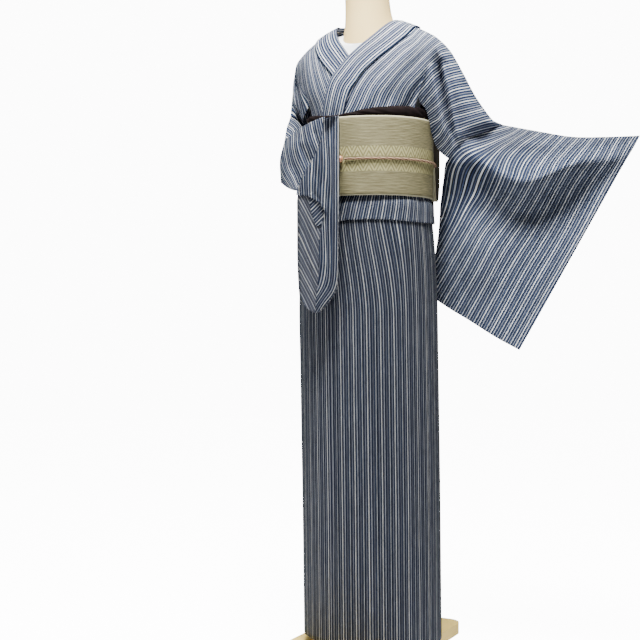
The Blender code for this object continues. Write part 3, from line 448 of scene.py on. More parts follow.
# Where the elbow part's top edge shows, across and up, how far its inner layer stays below it, and how far
# the cloth lifts towards the cuff
ELBOW_TOP = (
    (-0.185, 1.102), (-0.17, 1.111), (-0.163, 1.117), (-0.146, 1.128), (-0.125, 1.14), (-0.101, 1.149),
    (-0.077, 1.152),
)
ELBOW_INSIDE_DROP = 0.004
ELBOW_LIFT = 0.008
# The cuff's panel over the elbow part and bag, and the turned flap under it: height, left and right edge
CUFF_PANEL = (
    (1.154, -0.077, -0.067), (1.15, -0.09, -0.067), (1.146, -0.101, -0.0665), (1.113, -0.1025, -0.0665),
    (1.098, -0.106, -0.066), (1.074, -0.116, -0.066), (1.052, -0.128, -0.066), (1.033, -0.142, -0.066),
    (1.009, -0.151, -0.067), (0.994, -0.157, -0.067), (0.984, -0.159, -0.068), (0.9815, -0.133, -0.068),
    (0.977, -0.125, -0.068), (0.967, -0.11, -0.068), (0.949, -0.097, -0.068), (0.924, -0.104, -0.069),
    (0.887, -0.109, -0.069), (0.844, -0.11, -0.069), (0.81, -0.111, -0.07), (0.784, -0.113, -0.073),
    (0.762, -0.116, -0.084), (0.745, -0.117, -0.097), (0.732, -0.117, -0.113),
)
CUFF_FLAP = (
    (0.985, -0.132, -0.125), (0.967, -0.13, -0.104), (0.949, -0.127, -0.093), (0.934, -0.123, -0.099),
    (0.917, -0.116, -0.106),
)
# Their folds, and the sleeve bag's
CUFF_FOLDS = (
    (-0.104, 1.09, -0.09, 0.99, 0.005, 0.006, 0.003), (-0.122, 1.05, -0.112, 0.995, 0.005, 0.005, -0.003),
    (-0.08, 1.14, -0.078, 0.98, 0.004, 0.005, -0.0025), (-0.092, 0.93, -0.098, 0.8, 0.005, 0.005, -0.003),
    (-0.081, 0.96, -0.084, 0.8, 0.004, 0.005, 0.0025), (-0.12, 1.02, -0.098, 0.95, 0.004, 0.005, 0.0035),
)
BAG_FOLDS = (
    (-0.124, 0.975, -0.122, 0.8, 0.005, 0.007, 0.004), (-0.135, 0.96, -0.142, 0.79, 0.006, 0.006, -0.0035),
    (-0.146, 0.95, -0.15, 0.8, 0.004, 0.005, 0.002), (-0.128, 0.83, -0.118, 0.75, 0.005, 0.005, -0.003),
)
# How far both lie over what is under them, the depth of the panel's folds, and its stripes: the inner
# edge that they follow, the height below which that edge turns away, and how softly it does
FLAP_LIFT = 0.002
CUFF_LIFT = 0.0032
CUFF_DEEPEST = -0.0016
CUFF_EDGE = -0.067
CUFF_TIP = 0.785
CUFF_BEND = 0.02
# Rows and columns of points in each finer grid
GRIDS = {
    "collar": (240, 15), "left_sleeve": (181, 121), "left_sleeve_back": (61, 41), "elbow": (71, 111),
    "elbow_back": (31, 41), "bag": (141, 81), "bag_back": (61, 36), "flap": (40, 20), "cuff": (200, 44),
}


def ease(value, start, end):
    """A smooth rise from 0 at the start to 1 at the end."""
    share = np.clip((np.asarray(value, float) - start) / (end - start), 0.0, 1.0)
    return share * share * (3.0 - 2.0 * share)


def plateau(value, rise, fall):
    """1 in the middle, with a smooth rise over the first pair of values and a fall over the second."""
    return ease(value, *rise) * (1.0 - ease(value, *fall))


def between(keys, values, places, level=False):
    """A smooth curve through the values at their keys, read at the places; level keeps it in its rows."""
    keys = np.asarray(keys, float)
    values = np.asarray(values, float)
    places = np.clip(np.atleast_1d(np.asarray(places, float)), keys[0], keys[-1])
    slopes = np.gradient(values, keys, axis=0)
    if level:
        rises = np.diff(values, axis=0)
        slopes[1:-1] = np.where(rises[:-1] * rises[1:] > 0.0, slopes[1:-1], 0.0)
    left = np.clip(np.searchsorted(keys, places, side="right") - 1, 0, len(keys) - 2)
    shape = (-1,) + (1,) * (values.ndim - 1)
    step = (keys[left + 1] - keys[left]).reshape(shape)
    part = (places - keys[left]).reshape(shape) / step
    rise = part * part * (3.0 - 2.0 * part)
    curve = slopes[left] * part * (1.0 - part) ** 2 - slopes[left + 1] * part * part * (1.0 - part)
    return values[left] * (1.0 - rise) + values[left + 1] * rise + step * curve


def read_table(table, keys):
    """A table's other columns where its first one has the keys."""
    rows = np.array(table, float)
    return between(rows[:, 0], rows[:, 1:], keys, level=True)


def through(rows, places):
    """A smooth curve through the rows, at places counted in rows from 0."""
    return between(np.arange(len(rows)), rows, places)


def section_point(table, rows, share, down):
    """A point of a sleeve's layer, from its sections across the width and the rows of points on them."""
    section = between([row[0] for row in table], [row[1] for row in table], share)[0]
    return between(rows, section, down)[0]


def turned(across, away, height):
    """A point of the sleeves' tables in the figure's own axes."""
    return np.array((across * COSINE - away * SINE, across * SINE + away * COSINE, height))


def to_view(points):
    """The figure's own axes to across, away and up as the camera sees them."""
    x, y, z = np.moveaxis(np.asarray(points, float), -1, 0)
    return x * COSINE + y * SINE, y * COSINE - x * SINE, z


def seen(points):
    """Where points show, as across and up on the plane through the figure's axis."""
    across, away, up = to_view(points)
    share = EYE_DISTANCE / (EYE_DISTANCE + away)
    return EYE_SHIFT + (across - EYE_SHIFT) * share, EYE_HEIGHT + (up - EYE_HEIGHT) * share


def nearer(points, amount):
    """Moves points towards the viewer."""
    return points + np.asarray(amount)[..., None] * turned(0.0, -1.0, 0.0)


def sampled(point, shares, downs):
    """A grid of a surface's points at shares of its width and height."""
    return np.array([[point(share, down) for share in shares] for down in downs])


def fine(grid, rows, columns):
    """A grid of points made finer along smooth curves through its rows and columns."""
    for count in (rows, columns):
        finer = between(np.linspace(0.0, 1.0, len(grid)), grid, np.linspace(0.0, 1.0, count))
        grid = np.swapaxes(finer, 0, 1)
    return grid


def shares_of(grid):
    """How far along its row and down its column each point of a grid lies, from 0 to 1."""
    rows, columns = grid.shape[:2]
    return np.linspace(0.0, 1.0, columns)[None, :], np.linspace(0.0, 1.0, rows)[:, None]


def lengths(grid, axis):
    """Distance along a grid's rows or columns, from its first line."""
    steps = np.linalg.norm(np.diff(grid, axis=axis), axis=-1)
    shape = list(steps.shape)
    shape[axis] = 1
    return np.concatenate((np.zeros(shape), np.cumsum(steps, axis=axis)), axis=axis)


def normals_of(grid):
    crossed = np.cross(np.gradient(grid, axis=1), np.gradient(grid, axis=0))
    return crossed / np.maximum(np.linalg.norm(crossed, axis=-1, keepdims=True), 1e-9)


def wrapped(form, reach, turns, heights):
    """Points round the figure on the form's ovals, a row for each of them, moved out by their reach."""
    width, depth, shift = form.T[:, :, None]
    across = shift + (width + reach) * np.sin(turns)
    away = -(depth + reach) * np.cos(turns)
    return np.stack(np.broadcast_arrays(across, away, heights), axis=-1)


def columns_of(start, end):
    return np.linspace(start, end, int(abs(end - start) / COLUMN_ANGLE) + 2)


def fold_field(across, up, folds):
    """The height of listed folds: each row has two ends, a width on each side of it and a height."""
    total = np.zeros_like(across)
    for x0, z0, x1, z1, above, below, height in folds:
        run = np.array((x1 - x0, z1 - z0))
        length = np.linalg.norm(run)
        run = run / length
        along = (across - x0) * run[0] + (up - z0) * run[1]
        aside = (across - x0) * run[1] - (up - z0) * run[0]
        ends = plateau(along, (-0.25 * length, 0.2 * length), (0.8 * length, 1.25 * length))
        total += height * ends * np.exp(-(aside / np.where(aside > 0.0, above, below)) ** 2)
    return total


def bend(distance):
    """The thin plate's bending curve, with distance squared."""
    return distance * np.log(np.maximum(distance, 1e-12))


def stripe_map(lines):
    """A smooth map from where a point shows to its place across the stripes, from listed lines."""
    places = np.array([place for number, line in lines for place in line])
    numbers = np.array([number for number, line in lines for place in line], float)
    count = len(places)
    gaps = ((places[:, None] - places[None, :]) ** 2).sum(axis=-1)
    system = np.zeros((count + 3, count + 3))
    system[:count, :count] = bend(gaps) + 1e-5 * np.eye(count)
    system[:count, count] = 1.0
    system[:count, count + 1:] = places
    system[count:, :count] = system[:count, count:].T
    weights = np.linalg.solve(system, np.concatenate((numbers, np.zeros(3))))

    def across_stripes(points):
        across, up = seen(points)
        flat = np.stack((across.ravel(), up.ravel()), axis=1)
        reach = ((flat[:, None] - places[None, :]) ** 2).sum(axis=-1)
        numbers = bend(reach) @ weights[:count] + weights[count] + flat @ weights[count + 1:]
        return REPEAT * numbers.reshape(across.shape)

    return across_stripes


def beside(grid):
    """The sum of each value's four neighbours."""
    padded = np.pad(grid, 1, mode="edge")
    return padded[:-2, 1:-1] + padded[2:, 1:-1] + padded[1:-1, :-2] + padded[1:-1, 2:]


def laid_over(rows, under, lift, count, columns):
    """A grid laid over other cloth as the camera sees it: each row is its height and its two edges."""
    eye = turned(EYE_SHIFT, -EYE_DISTANCE, EYE_HEIGHT)
    keys = lengths(np.array(rows), 0)
    places = np.linspace(0.0, keys[-1], count)
    rays = np.zeros((count, columns, 3))
    depths = np.full((count, columns), np.nan)
    for row, (up, left, right) in enumerate(zip(*[np.interp(places, keys, line) for line in zip(*rows)])):
        for column, share in enumerate(np.linspace(0.0, 1.0, columns)):
            ray = turned(left + (right - left) * share, 0.0, up) - eye
            rays[row, column] = ray / np.linalg.norm(ray)
            hit = under.ray_cast(Vector(eye), Vector(rays[row, column]))[3]
            if hit is not None:
                depths[row, column] = hit
    for line in depths:
        known = np.flatnonzero(~np.isnan(line))
        if len(known):
            line[:] = np.interp(np.arange(columns), known, line[known])
    known = np.flatnonzero(~np.isnan(depths[:, 0]))
    for column in range(columns):
        depths[:, column] = np.interp(np.arange(count), known, depths[known, column])
    smooth = depths
    for _ in range(6):
        smooth = (beside(smooth) + 2 * smooth) / 6
    near = np.minimum(smooth, depths) - lift
    return eye + rays * np.minimum(beside(near) / 4, near)[..., None]


def joined(grids):
    """The points of some grids, and the faces between them as the points' numbers."""
    faces = []
    first = 0
    for grid in grids:
        rows, columns = grid.shape[:2]
        index = np.arange(rows * columns).reshape(rows, columns) + first
        corners = (index[:-1, :-1], index[:-1, 1:], index[1:, 1:], index[1:, :-1])
        faces.append(np.stack(corners, axis=-1).reshape(-1, 4))
        first += rows * columns
    return np.concatenate([grid.reshape(-1, 3) for grid in grids]), np.concatenate(faces)


def tree_of(*grids):
    """A tree for casting rays onto grids of points."""
    points, faces = joined(grids)
    return BVHTree.FromPolygons(points.tolist(), faces.tolist())


def linked(name, data):
    made = bpy.data.objects.new(name, data)
    bpy.context.scene.collection.objects.link(made)
    return made


def shown_piece(name, mesh):
    """A piece on the frame's body, in place of the node of its name where there is one."""
    made = linked(name, mesh)
    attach(made, "root")
    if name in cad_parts:
        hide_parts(name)
    return made


def cloth(name, layers, look, wall=CLOTH_WALL):
    """A piece of cloth through grids of points, each with its own cloth coordinates. With no wall it is
    sewn into a closed skin."""
    points, faces = joined([grid for grid, u, v in layers])
    flat = []
    for grid, u, v in layers:
        places = np.broadcast_arrays(u, v, grid[..., 0])[:2]
        flat.append(np.stack(places, axis=-1).reshape(-1, 2))
    mesh = bpy.data.meshes.new(name)
    mesh.from_pydata(points.tolist(), [], faces.tolist())
    mesh.uv_layers.new(name="cloth").data.foreach_set("uv", np.concatenate(flat)[faces].reshape(-1))
    mesh.materials.append(look)
    mesh.shade_smooth()
    if wall is None:
        shell = bmesh.new()
        shell.from_mesh(mesh)
        bmesh.ops.remove_doubles(shell, verts=shell.verts, dist=0.00005)
        bmesh.ops.recalc_face_normals(shell, faces=shell.faces)
        shell.to_mesh(mesh)
        shell.free()
    made = shown_piece(name, mesh)
    if wall is not None:
        solid = made.modifiers.new("wall", "SOLIDIFY")
        solid.thickness = wall
        solid.offset = 0.0
    return made


class Nodes:
    """Short calls for building a material's nodes."""

    def __init__(self, name):
        self.material = bpy.data.materials.new(name)
        self.material.use_nodes = True
        self.tree = self.material.node_tree
        self.shader = self.tree.nodes["Principled BSDF"]

    def add(self, kind, **values):
        node = self.tree.nodes.new(kind)
        for key, value in values.items():
            setattr(node, key, value)
        return node

    def plug(self, value, socket):
        if isinstance(value, bpy.types.NodeSocket):
            self.tree.links.new(value, socket)
        else:
            socket.default_value = value

    def math(self, operation, *values, clamp=False):
        node = self.add("ShaderNodeMath", operation=operation, use_clamp=clamp)
        for value, socket in zip(values, node.inputs):
            self.plug(value, socket)
        return node.outputs[0]

    def plus(self, first, second):
        return self.math("ADD", first, second)

    def minus(self, first, second, clamp=False):
        return self.math("SUBTRACT", first, second, clamp=clamp)

    def times(self, first, second, clamp=False):
        return self.math("MULTIPLY", first, second, clamp=clamp)

    def over(self, first, second):
        return self.math("DIVIDE", first, second)

    def wave(self, value, pitch):
        return self.math("SINE", self.times(value, 2 * math.pi / pitch))

    def coordinates(self):
        """The cloth's own coordinates in metres: across its stripes, then along them."""
        split = self.add("ShaderNodeSeparateXYZ")
        self.plug(self.add("ShaderNodeUVMap", uv_map="cloth").outputs[0], split.inputs[0])
        self.flat = tuple(split.outputs)[:2]
        return self.flat

    def noise(self, place, scale, detail, roughness):
        node = self.add("ShaderNodeTexNoise")
        for key, value in (("Vector", place), ("Scale", scale), ("Detail", detail), ("Roughness", roughness)):
            self.plug(value, node.inputs[key])
        return node.outputs[0]

    def stretched(self, across, along, detail=2.0, roughness=0.5):
        """Noise with features of one size across the cloth and another along it."""
        place = self.add("ShaderNodeCombineXYZ")
        for value, size, socket in zip(self.flat, (across, along), place.inputs):
            self.plug(self.over(value, size), socket)
        return self.noise(place.outputs[0], 1.0, detail, roughness)

    def cloud(self, scale, detail=3.0, roughness=0.5, stretch=(1.0, 1.0, 1.0)):
        """Noise in the piece's own space."""
        mapping = self.add("ShaderNodeMapping")
        self.plug(stretch, mapping.inputs["Scale"])
        self.plug(self.add("ShaderNodeTexCoord").outputs["Object"], mapping.inputs["Vector"])
        return self.noise(mapping.outputs[0], scale, detail, roughness)

    def mix(self, factor, first, second, blend="MIX"):
        node = self.add("ShaderNodeMix", data_type="RGBA", blend_type=blend)
        self.plug(factor, node.inputs["Factor"])
        colours = [socket for socket in node.inputs if socket.type == "RGBA"]
        for value, socket in zip((first, second), colours):
            self.plug(value if isinstance(value, bpy.types.NodeSocket) else (*value, 1.0)[:4], socket)
        return [socket for socket in node.outputs if socket.type == "RGBA"][0]

    def mix_value(self, *values):
        node = self.add("ShaderNodeMix", data_type="FLOAT")
        for value, socket in zip(values, [socket for socket in node.inputs if socket.type == "VALUE"]):
            self.plug(value, socket)
        return [socket for socket in node.outputs if socket.type == "VALUE"][0]

    def bump(self, height, distance, strength=1.0):
        node = self.add("ShaderNodeBump")
        for key, value in (("Strength", strength), ("Distance", distance), ("Height", height)):
            self.plug(value, node.inputs[key])
        self.plug(node.outputs[0], self.shader.inputs["Normal"])

    def finish(self, colour, roughness, **values):
        self.plug(colour, self.shader.inputs["Base Color"])
        self.plug(roughness, self.shader.inputs["Roughness"])
        for key, value in values.items():
            self.shader.inputs[key.replace("_", " ")].default_value = value
        return self.material


def striped_cloth(name, painted_light_level, chill, plain=0.0):
    """Open striped cloth: one charted repeat, uneven threads and a fine weave. Its painted light level scales
    all its colours, which makes lighter and darker copies of the one cloth: painted light and shade.
    """
    look = Nodes(name)
    u, v = look.coordinates()
    drift = look.times(look.minus(look.stretched(0.03, 0.25), 0.5), 0.0016)
    part = look.math("FRACT", look.plus(look.over(look.plus(u, drift), REPEAT), 200.0))
    ramp = look.add("ShaderNodeValToRGB")
    ramp.color_ramp.interpolation = "CONSTANT"
    stops = ramp.color_ramp.elements
    start = 0.0
    for place, (end, thread) in enumerate(BANDS):
        stop = stops[place] if place < len(stops) else stops.new(start)
        stop.position = start
        colour = THREADS[thread]
        grey = sum(colour) / 3
        # Each thread's colour is scaled by the copy's painted light level: painted light and shade.
        stop.color = [min(painted_light_level * (value + chill * (value - grey)), 1.0) for value in colour] + [1.0]
        start = end / (REPEAT * 1000.0)
    look.plug(part, ramp.inputs[0])
    fade = look.times(look.minus(look.stretched(0.0045, 0.06, 3.0), 0.4), 3.0, clamp=True)
    faded = look.mix(look.times(fade, 0.42), ramp.outputs[0], [painted_light_level * value for value in GROUND])
    thread = look.stretched(WARP, 0.03, 3.0, 0.65)
    uneven = look.plus(look.times(thread, 1.3), look.times(look.stretched(0.04, 0.8), 0.7))
    threaded = look.mix(0.8, faded, uneven, "MULTIPLY")
    if plain:
        threaded = look.mix(plain, threaded, [painted_light_level * value for value in INSIDE])
    weave = look.plus(look.times(look.wave(u, WARP), look.wave(v, WEFT)), look.times(thread, 1.5))
    look.bump(weave, 0.00025, 0.5)
    return look.finish(threaded, 0.85, Specular_IOR_Level=0.06)


def belt_cloth():
    """Ribbed belt cloth with light borders and two zigzag bands."""
    look = Nodes("Ribbed belt cloth")
    u, v = look.coordinates()
    ribs = look.wave(look.plus(v, look.times(look.stretched(0.02, 0.004), 0.0012)), RIB)
    slub = look.stretched(0.03, 0.0016, 4.0, 0.65)
    yarn = look.minus(look.times(slub, 2.2), 0.6, clamp=True)
    base = look.mix(yarn, (0.075, 0.067, 0.03), (0.31, 0.28, 0.155))
    ribbed = look.mix(look.times(look.plus(ribs, 1.0), 0.3), base, (0.095, 0.084, 0.042))
    swing = look.math("ABSOLUTE", look.minus(look.math("FRACT", look.over(u, ZIGZAG)), 0.5))
    rows = look.wave(look.plus(v, look.times(swing, ZIGZAG_DEPTH)), ZIGZAG_ROW)
    zigzag = look.mix(look.plus(look.times(rows, 0.5), 0.5), (0.15, 0.135, 0.058), (0.36, 0.33, 0.165))
    inside = 0.0
    for low, high in BELT_BANDS:
        both = look.times(look.math("GREATER_THAN", v, low), look.math("LESS_THAN", v, high))
        inside = look.plus(both, inside)
    top = look.math("GREATER_THAN", v, BELT_TOP - BORDER)
    border = look.plus(top, look.math("LESS_THAN", v, BELT_BOTTOM + BORDER))
    edged = look.mix(border, look.mix(inside, ribbed, zigzag), (0.36, 0.34, 0.23))
    look.bump(look.plus(look.times(look.mix_value(inside, ribs, rows), 0.5), slub), 0.0006, 0.55)
    return look.finish(edged, 0.7, Specular_IOR_Level=0.15)


def cord_look():
    look = Nodes("Twisted cord")
    u, v = look.coordinates()
    ramp = look.add("ShaderNodeValToRGB")
    strands = ((0.3, (0.36, 0.25, 0.155, 1.0)), (0.62, (0.105, 0.045, 0.028, 1.0)))
    for stop, (place, colour) in zip(ramp.color_ramp.elements, strands):
        stop.position = place
        stop.color = colour
    look.plug(look.math("FRACT", look.plus(look.over(u, 0.0062), look.over(v, CORD_LAY))), ramp.inputs[0])
    look.bump(look.stretched(0.0004, 0.004), 0.0003, 0.6)
    return look.finish(ramp.outputs[0], 0.7, Specular_IOR_Level=0.2)


def mottled(name, noise, colours, roughness, relief=None, woven=False, **values):
    """A surface of two colours, with a fine relief given by its noise, depth and strength. The noise lies
    in a woven piece's own cloth, and otherwise in space."""
    look = Nodes(name)
    if woven:
        look.coordinates()
    pattern = look.stretched if woven else look.cloud
    if relief:
        look.bump(pattern(*relief[0]), *relief[1:])
    return look.finish(look.mix(pattern(*noise), *colours), roughness, **values)


def wood_look():
    look = Nodes("Pale wood")
    pores = look.cloud(60.0, 4.0, 0.7, (12.0, 0.4, 12.0))
    base = look.mix(look.cloud(12.0, 6.0, 0.6, (14.0, 0.7, 14.0)), (0.95, 0.64, 0.13), (1.0, 0.8, 0.24))
    look.bump(pores, 0.0004, 0.3)
    colour = look.mix(look.times(pores, 0.18), base, (0.62, 0.4, 0.1))
    return look.finish(colour, 0.5, Coat_Weight=0.06, Coat_Roughness=0.3)


def make_camera():
    lens = bpy.data.cameras.new("camera")
    lens.lens = LENS
    lens.sensor_width = 36.0
    lens.clip_end = 50.0
    made = linked("camera", lens)
    right = Vector(turned(1.0, 0.0, 0.0))
    ahead = Vector(turned(0.0, 1.0, 0.0))
    up = Vector((0.0, 0.0, 1.0))
    place = Vector(turned(EYE_SHIFT, -EYE_DISTANCE, EYE_HEIGHT))
    made.matrix_world = Matrix.Translation(place) @ Matrix((right, up, -ahead)).transposed().to_4x4()
    bpy.context.scene.camera = made


def make_studio():
    world = bpy.data.worlds.new("studio")
    world.use_nodes = True
    bpy.context.scene.world = world
    nodes = world.node_tree.nodes
    sky = nodes["Background"]
    path = nodes.new("ShaderNodeLightPath")
    level = nodes.new("ShaderNodeMapRange")
    level.inputs["To Min"].default_value = WORLD_LIGHT
    level.inputs["To Max"].default_value = STAGE_WHITE
    world.node_tree.links.new(path.outputs["Is Camera Ray"], level.inputs["Value"])
    world.node_tree.links.new(level.outputs[0], sky.inputs["Strength"])
    sky.inputs["Color"].default_value = (1.0, 1.0, 1.0, 1.0)
    for name, (place, target, size, power) in LIGHTS.items():
        lamp = bpy.data.lights.new(name, "AREA")
        lamp.shape = "RECTANGLE"
        lamp.size, lamp.size_y = size
        lamp.energy = power
        aim = (Vector(target) - Vector(place)).to_track_quat("-Z", "Y").to_matrix().to_4x4()
        linked(name, lamp).matrix_world = Matrix.Translation(place) @ aim

    mesh = bpy.data.meshes.new("floor")
    count = 64
    points = [(0.0, 0.0, 0.0)]
    for step in range(count):
        turn = 2 * math.pi * step / count
        points.append((FLOOR_REACH * math.cos(turn), FLOOR_REACH * math.sin(turn), 0.0))
    mesh.from_pydata(points, [], [(0, 1 + step, 1 + (step + 1) % count) for step in range(count)])
    look = Nodes("Pale floor")
    look.finish(look.mix(look.cloud(3.0), (0.9, 0.9, 0.9), (0.94, 0.94, 0.94)), 0.9)
    look.shader.inputs["Emission Color"].default_value = (1.0, 1.0, 1.0, 1.0)
    direct = look.add("ShaderNodeLightPath").outputs["Is Camera Ray"]
    look.plug(look.times(direct, STAGE_WHITE), look.shader.inputs["Emission Strength"])
    mesh.materials.append(look.material)
    linked("floor", mesh)


def skirt_swell(angles, heights):
    """Shallow lengthwise folds of the skirt, a little uneven with height."""
    swell = 0.0
    for place, (middle, width, size) in enumerate(SKIRT_FOLDS):
        sway = 1.8 * np.sin(3.1 * heights + 1.7 * place)
        fade = 1.0 if abs(size) > STEADY_FOLD else 0.55 + 0.45 * np.sin(4.3 * heights + 2.1 * place)
        swell = swell + size * fade * np.exp(-((angles - middle - sway) / width) ** 2)
    return swell


def make_skirt_cloth(look):
    heights = np.linspace(SKIRT_BOTTOM, SKIRT_TOP, SKIRT_ROWS)[:, None]
    form = read_table(SKIRT_FORM, heights[:, 0])
    for name, (start, end, over, phase, flat) in SKIRT_PANELS.items():
        angles = columns_of(start, end)
        turns = np.radians(angles)
        folds = np.maximum(skirt_swell(angles, heights), DEEPEST_FOLD * ease(heights, *FOLD_STARTS))
        folds = folds * (1.0 - ease(heights, *FOLD_ENDS))
        if over:
            # The left panels start level with the right ones behind and pass over them in front
            reach = LEFT_FOLDS * folds + WRAP_STEP * (1.0 - ease(angles, SIDE_SEAM + 10.0, BACK_SEAM - 10.0))
        else:
            reach = np.minimum(folds, 0.0)
        lean = SKIRT_LEAN * ease(heights, *LEAN_HEIGHTS) * ease(LEAN_SIDE - np.abs(angles), *LEAN_ANGLES)
        grid = wrapped(form, reach, turns, heights)
        piece = cloth(name, [(grid, turns * SKIRT_GIRTH + phase + lean, heights)], look)


def make_tucked_fold(look):
    line = through(FOLD_SECTION, np.linspace(0.0, len(FOLD_SECTION) - 1.0, 60))
    run = lengths(line, 0)[:, None]
    out, height = line.T[:, :, None]
    out = out - FOLD_PRESS * (1.0 - ease(height, *TUCK_PRESSED)) * (out - out.min())
    form = read_table(SKIRT_FORM, height[:, 0])
    for name, (start, end, phase, flat) in TUCK_PARTS.items():
        turns = np.radians(columns_of(start, end))
        wave = TUCK_WAVE * ease(out, *TUCK_LOOSE) * np.sin(turns * 9.0 + 1.3 * np.sin(turns * 4.0))
        sag = TUCK_SAG * ease(TUCK_SAG_TOP - height, 0.0, 0.04) * np.sin(turns * 3.0 + 0.6)
        grid = wrapped(form, out + wave, turns, height + sag)
        piece = cloth(name, [(grid, turns * TUCK_GIRTH + phase + TUCK_SLANT * run, run)], look)


def sleeve_front(share, down):
    """A point of the left sleeve's front layer."""
    return turned(*section_point(LEFT_SLEEVE, SLEEVE_ROWS, share, down))


def sleeve_back(share, down):
    """A point of the left sleeve's back layer, which hangs plainly from fold to hem."""
    fold = sleeve_front(share, 0.0)
    straight = fold + (sleeve_front(share, 1.0) - fold) * down
    open_end = 1.0 - ease(share, 0.8, 1.0) * ease(down, CUFF_SHARE - 0.25, CUFF_SHARE)
    swell = SLEEVE_GAP * math.sin(math.pi * down) ** 0.7 * (0.25 + 0.75 * open_end)
    near = min(0.25 * (1.0 - down) + 0.75 * ease(share, 0.55, 1.0), 1.0)
    return straight + (sleeve_front(share, down) - straight) * near + turned(0.0, swell, 0.0)


def elbow_front(share, down):
    return section_point(RIGHT_ELBOW, ELBOW_ROWS, share, down)


def elbow_back(share, down):
    """The elbow's inner layer, between its face and the body."""
    along = elbow_front(share + 0.02, 0.5) - elbow_front(share - 0.02, 0.5)
    inwards = np.array((-along[1], along[0], 0.0)) / math.hypot(along[0], along[1])
    gap = ELBOW_GAP * (1.0 + (1.0 - share) ** 2)
    return elbow_front(share, down) + inwards * gap * math.sin(math.pi * down) ** 0.6


def bag_front(share, down, inwards=0.0):
    """A point of the right sleeve's front part: below 0 the share runs back along the hip, and inwards is
    0 on its face and 1 on the layer behind."""
    sizes = read_table(FRONT_SLEEVE, down)[0]
    left, left_height, right, right_height, near_left, near_middle, near_right, turn = sizes
    keys = (-1.0, -0.25, 0.0, 0.5, 1.0)
    plan = (
        (left + 0.15 * turn, near_left + 1.15 * turn), (left, near_left + 0.30 * turn),
        (left + 0.004, near_left), ((left + right) / 2, near_middle), (right, near_right),
    )
    places = between(keys, plan, (share - 0.02, share, share + 0.02))
    along = places[2] - places[0]
    inner = np.array((-along[1], along[0])) / np.linalg.norm(along)
    swell = math.sin(math.pi * down) ** 0.6 * math.sin(math.pi * (share + 1.0) / 2 * 0.93) ** 0.6
    across, away = places[1] + inner * FRONT_SLEEVE_GAP * swell * inwards
    on_face = max(share, 0.0)
    height = left_height + on_face * (right_height - left_height)
    height -= FRONT_SLEEVE_DROP * math.sin(math.pi * on_face) * ease(down, 0.75, 1.0)
    return turned(across, away, height)


def bag_back(share, down):
    return bag_front(share, down, 1.0)


def shoulder_height(reach):
    return SHOULDER_TOP - SHOULDER_FALL * reach * reach


def chest_depth(reach, height, out, behind):
    """How far the chest's cloth lies from the figure's side plane."""
    half_width, front_depth, back_depth = read_table(CHEST_FORM, height)[0]
    depth = (back_depth if behind else front_depth) + out
    across = min(abs(reach) / (half_width + out), 1.0)
    climb = max((height - CHEST_BASE) / (shoulder_height(reach) + out - CHEST_BASE), 0.0)
    size = depth * math.sqrt(1.0 - across * across) * math.sqrt(max(1.0 - climb * climb, 0.0))
    return size if behind else -size


def left_out(height):
    """The left front lies over the right one up to the shoulder."""
    return LEFT_OVER * (1.0 - ease(height, 1.25, 1.33))


def panel_reach(share, height, edge, out):
    """Distance from the centre of a panel's line, a share of the way from its inner edge to its side."""
    inner = read_table(edge, height)[0, 0]
    outer = PANEL_REACH * (read_table(CHEST_FORM, height)[0, 0] + out)
    return inner + share * (outer - inner)


def chest_line(share, side, over, rows):
    """One line of an upper panel: up the front, over the shoulder and down the back."""
    line = []
    for behind, edge in ((False, FRONT_EDGE), (True, BACK_EDGE)):
        top = SHOULDER_TOP - 0.02
        for _ in range(12):
            top = shoulder_height(panel_reach(share, top, edge, 0.0))
        half = []
        for part in np.linspace(0.0, 1.0, rows):
            if part < 0.2:
                height = WAIST_SPLIT + (CHEST_BASE - WAIST_SPLIT) * part / 0.2
            else:
                height = CHEST_BASE + (top - CHEST_BASE) * math.sin(math.pi / 2 * (part - 0.2) / 0.8)
            out = left_out(height) * (1.0 - ease(share, 0.8, 1.0)) if over and not behind else 0.0
            reach = panel_reach(share, height, edge, out)
            away = 0.0 if part == 1.0 else chest_depth(reach, height, out, behind)
            half.append((side * reach, away, height))
        line += half[-2::-1] if behind else half
    return np.array(line)


def armhole_rows(front_point, back_point, reaches, rows):
    """An armhole's seam: up the sleeve's one layer, over its fold and down its other layer."""
    front = [front_point(0.0, down) for down in np.linspace(reaches[0], 0.0, rows)]
    back = [back_point(0.0, down) for down in np.linspace(0.0, reaches[1], rows)[1:]]
    return np.array(front + back)


def upper_cloth(side, over, sections, distances, seam, places, rows, pace):
    """An upper panel over the chest, its drape and to the armhole's seam: its grid, its stripes'
    coordinate and its lines' numbers."""
    shares = np.linspace(0.0, 1.0, 9)
    spots = np.concatenate((np.linspace(0.0, 0.5, rows), np.linspace(0.5, 1.0, rows)[1:]))
    lines = [chest_line(share, side, over, rows) for share in shares]
    lines += [between(places, section, spots) for section in sections] + [seam]
    keys = [*shares, *(1.0 + DRAPE_STRIDE * np.arange(1, len(sections) + 2))]
    cloth_at = [*(CHEST_CLOTH * shares), *distances, distances[-1] + SEAM_STEP]
    fine_keys = np.linspace(0.0, keys[-1], int(keys[-1] * pace))
    grid = np.swapaxes(between(keys, np.array(lines), fine_keys), 0, 1)
    return grid, np.interp(fine_keys, keys, cloth_at), fine_keys


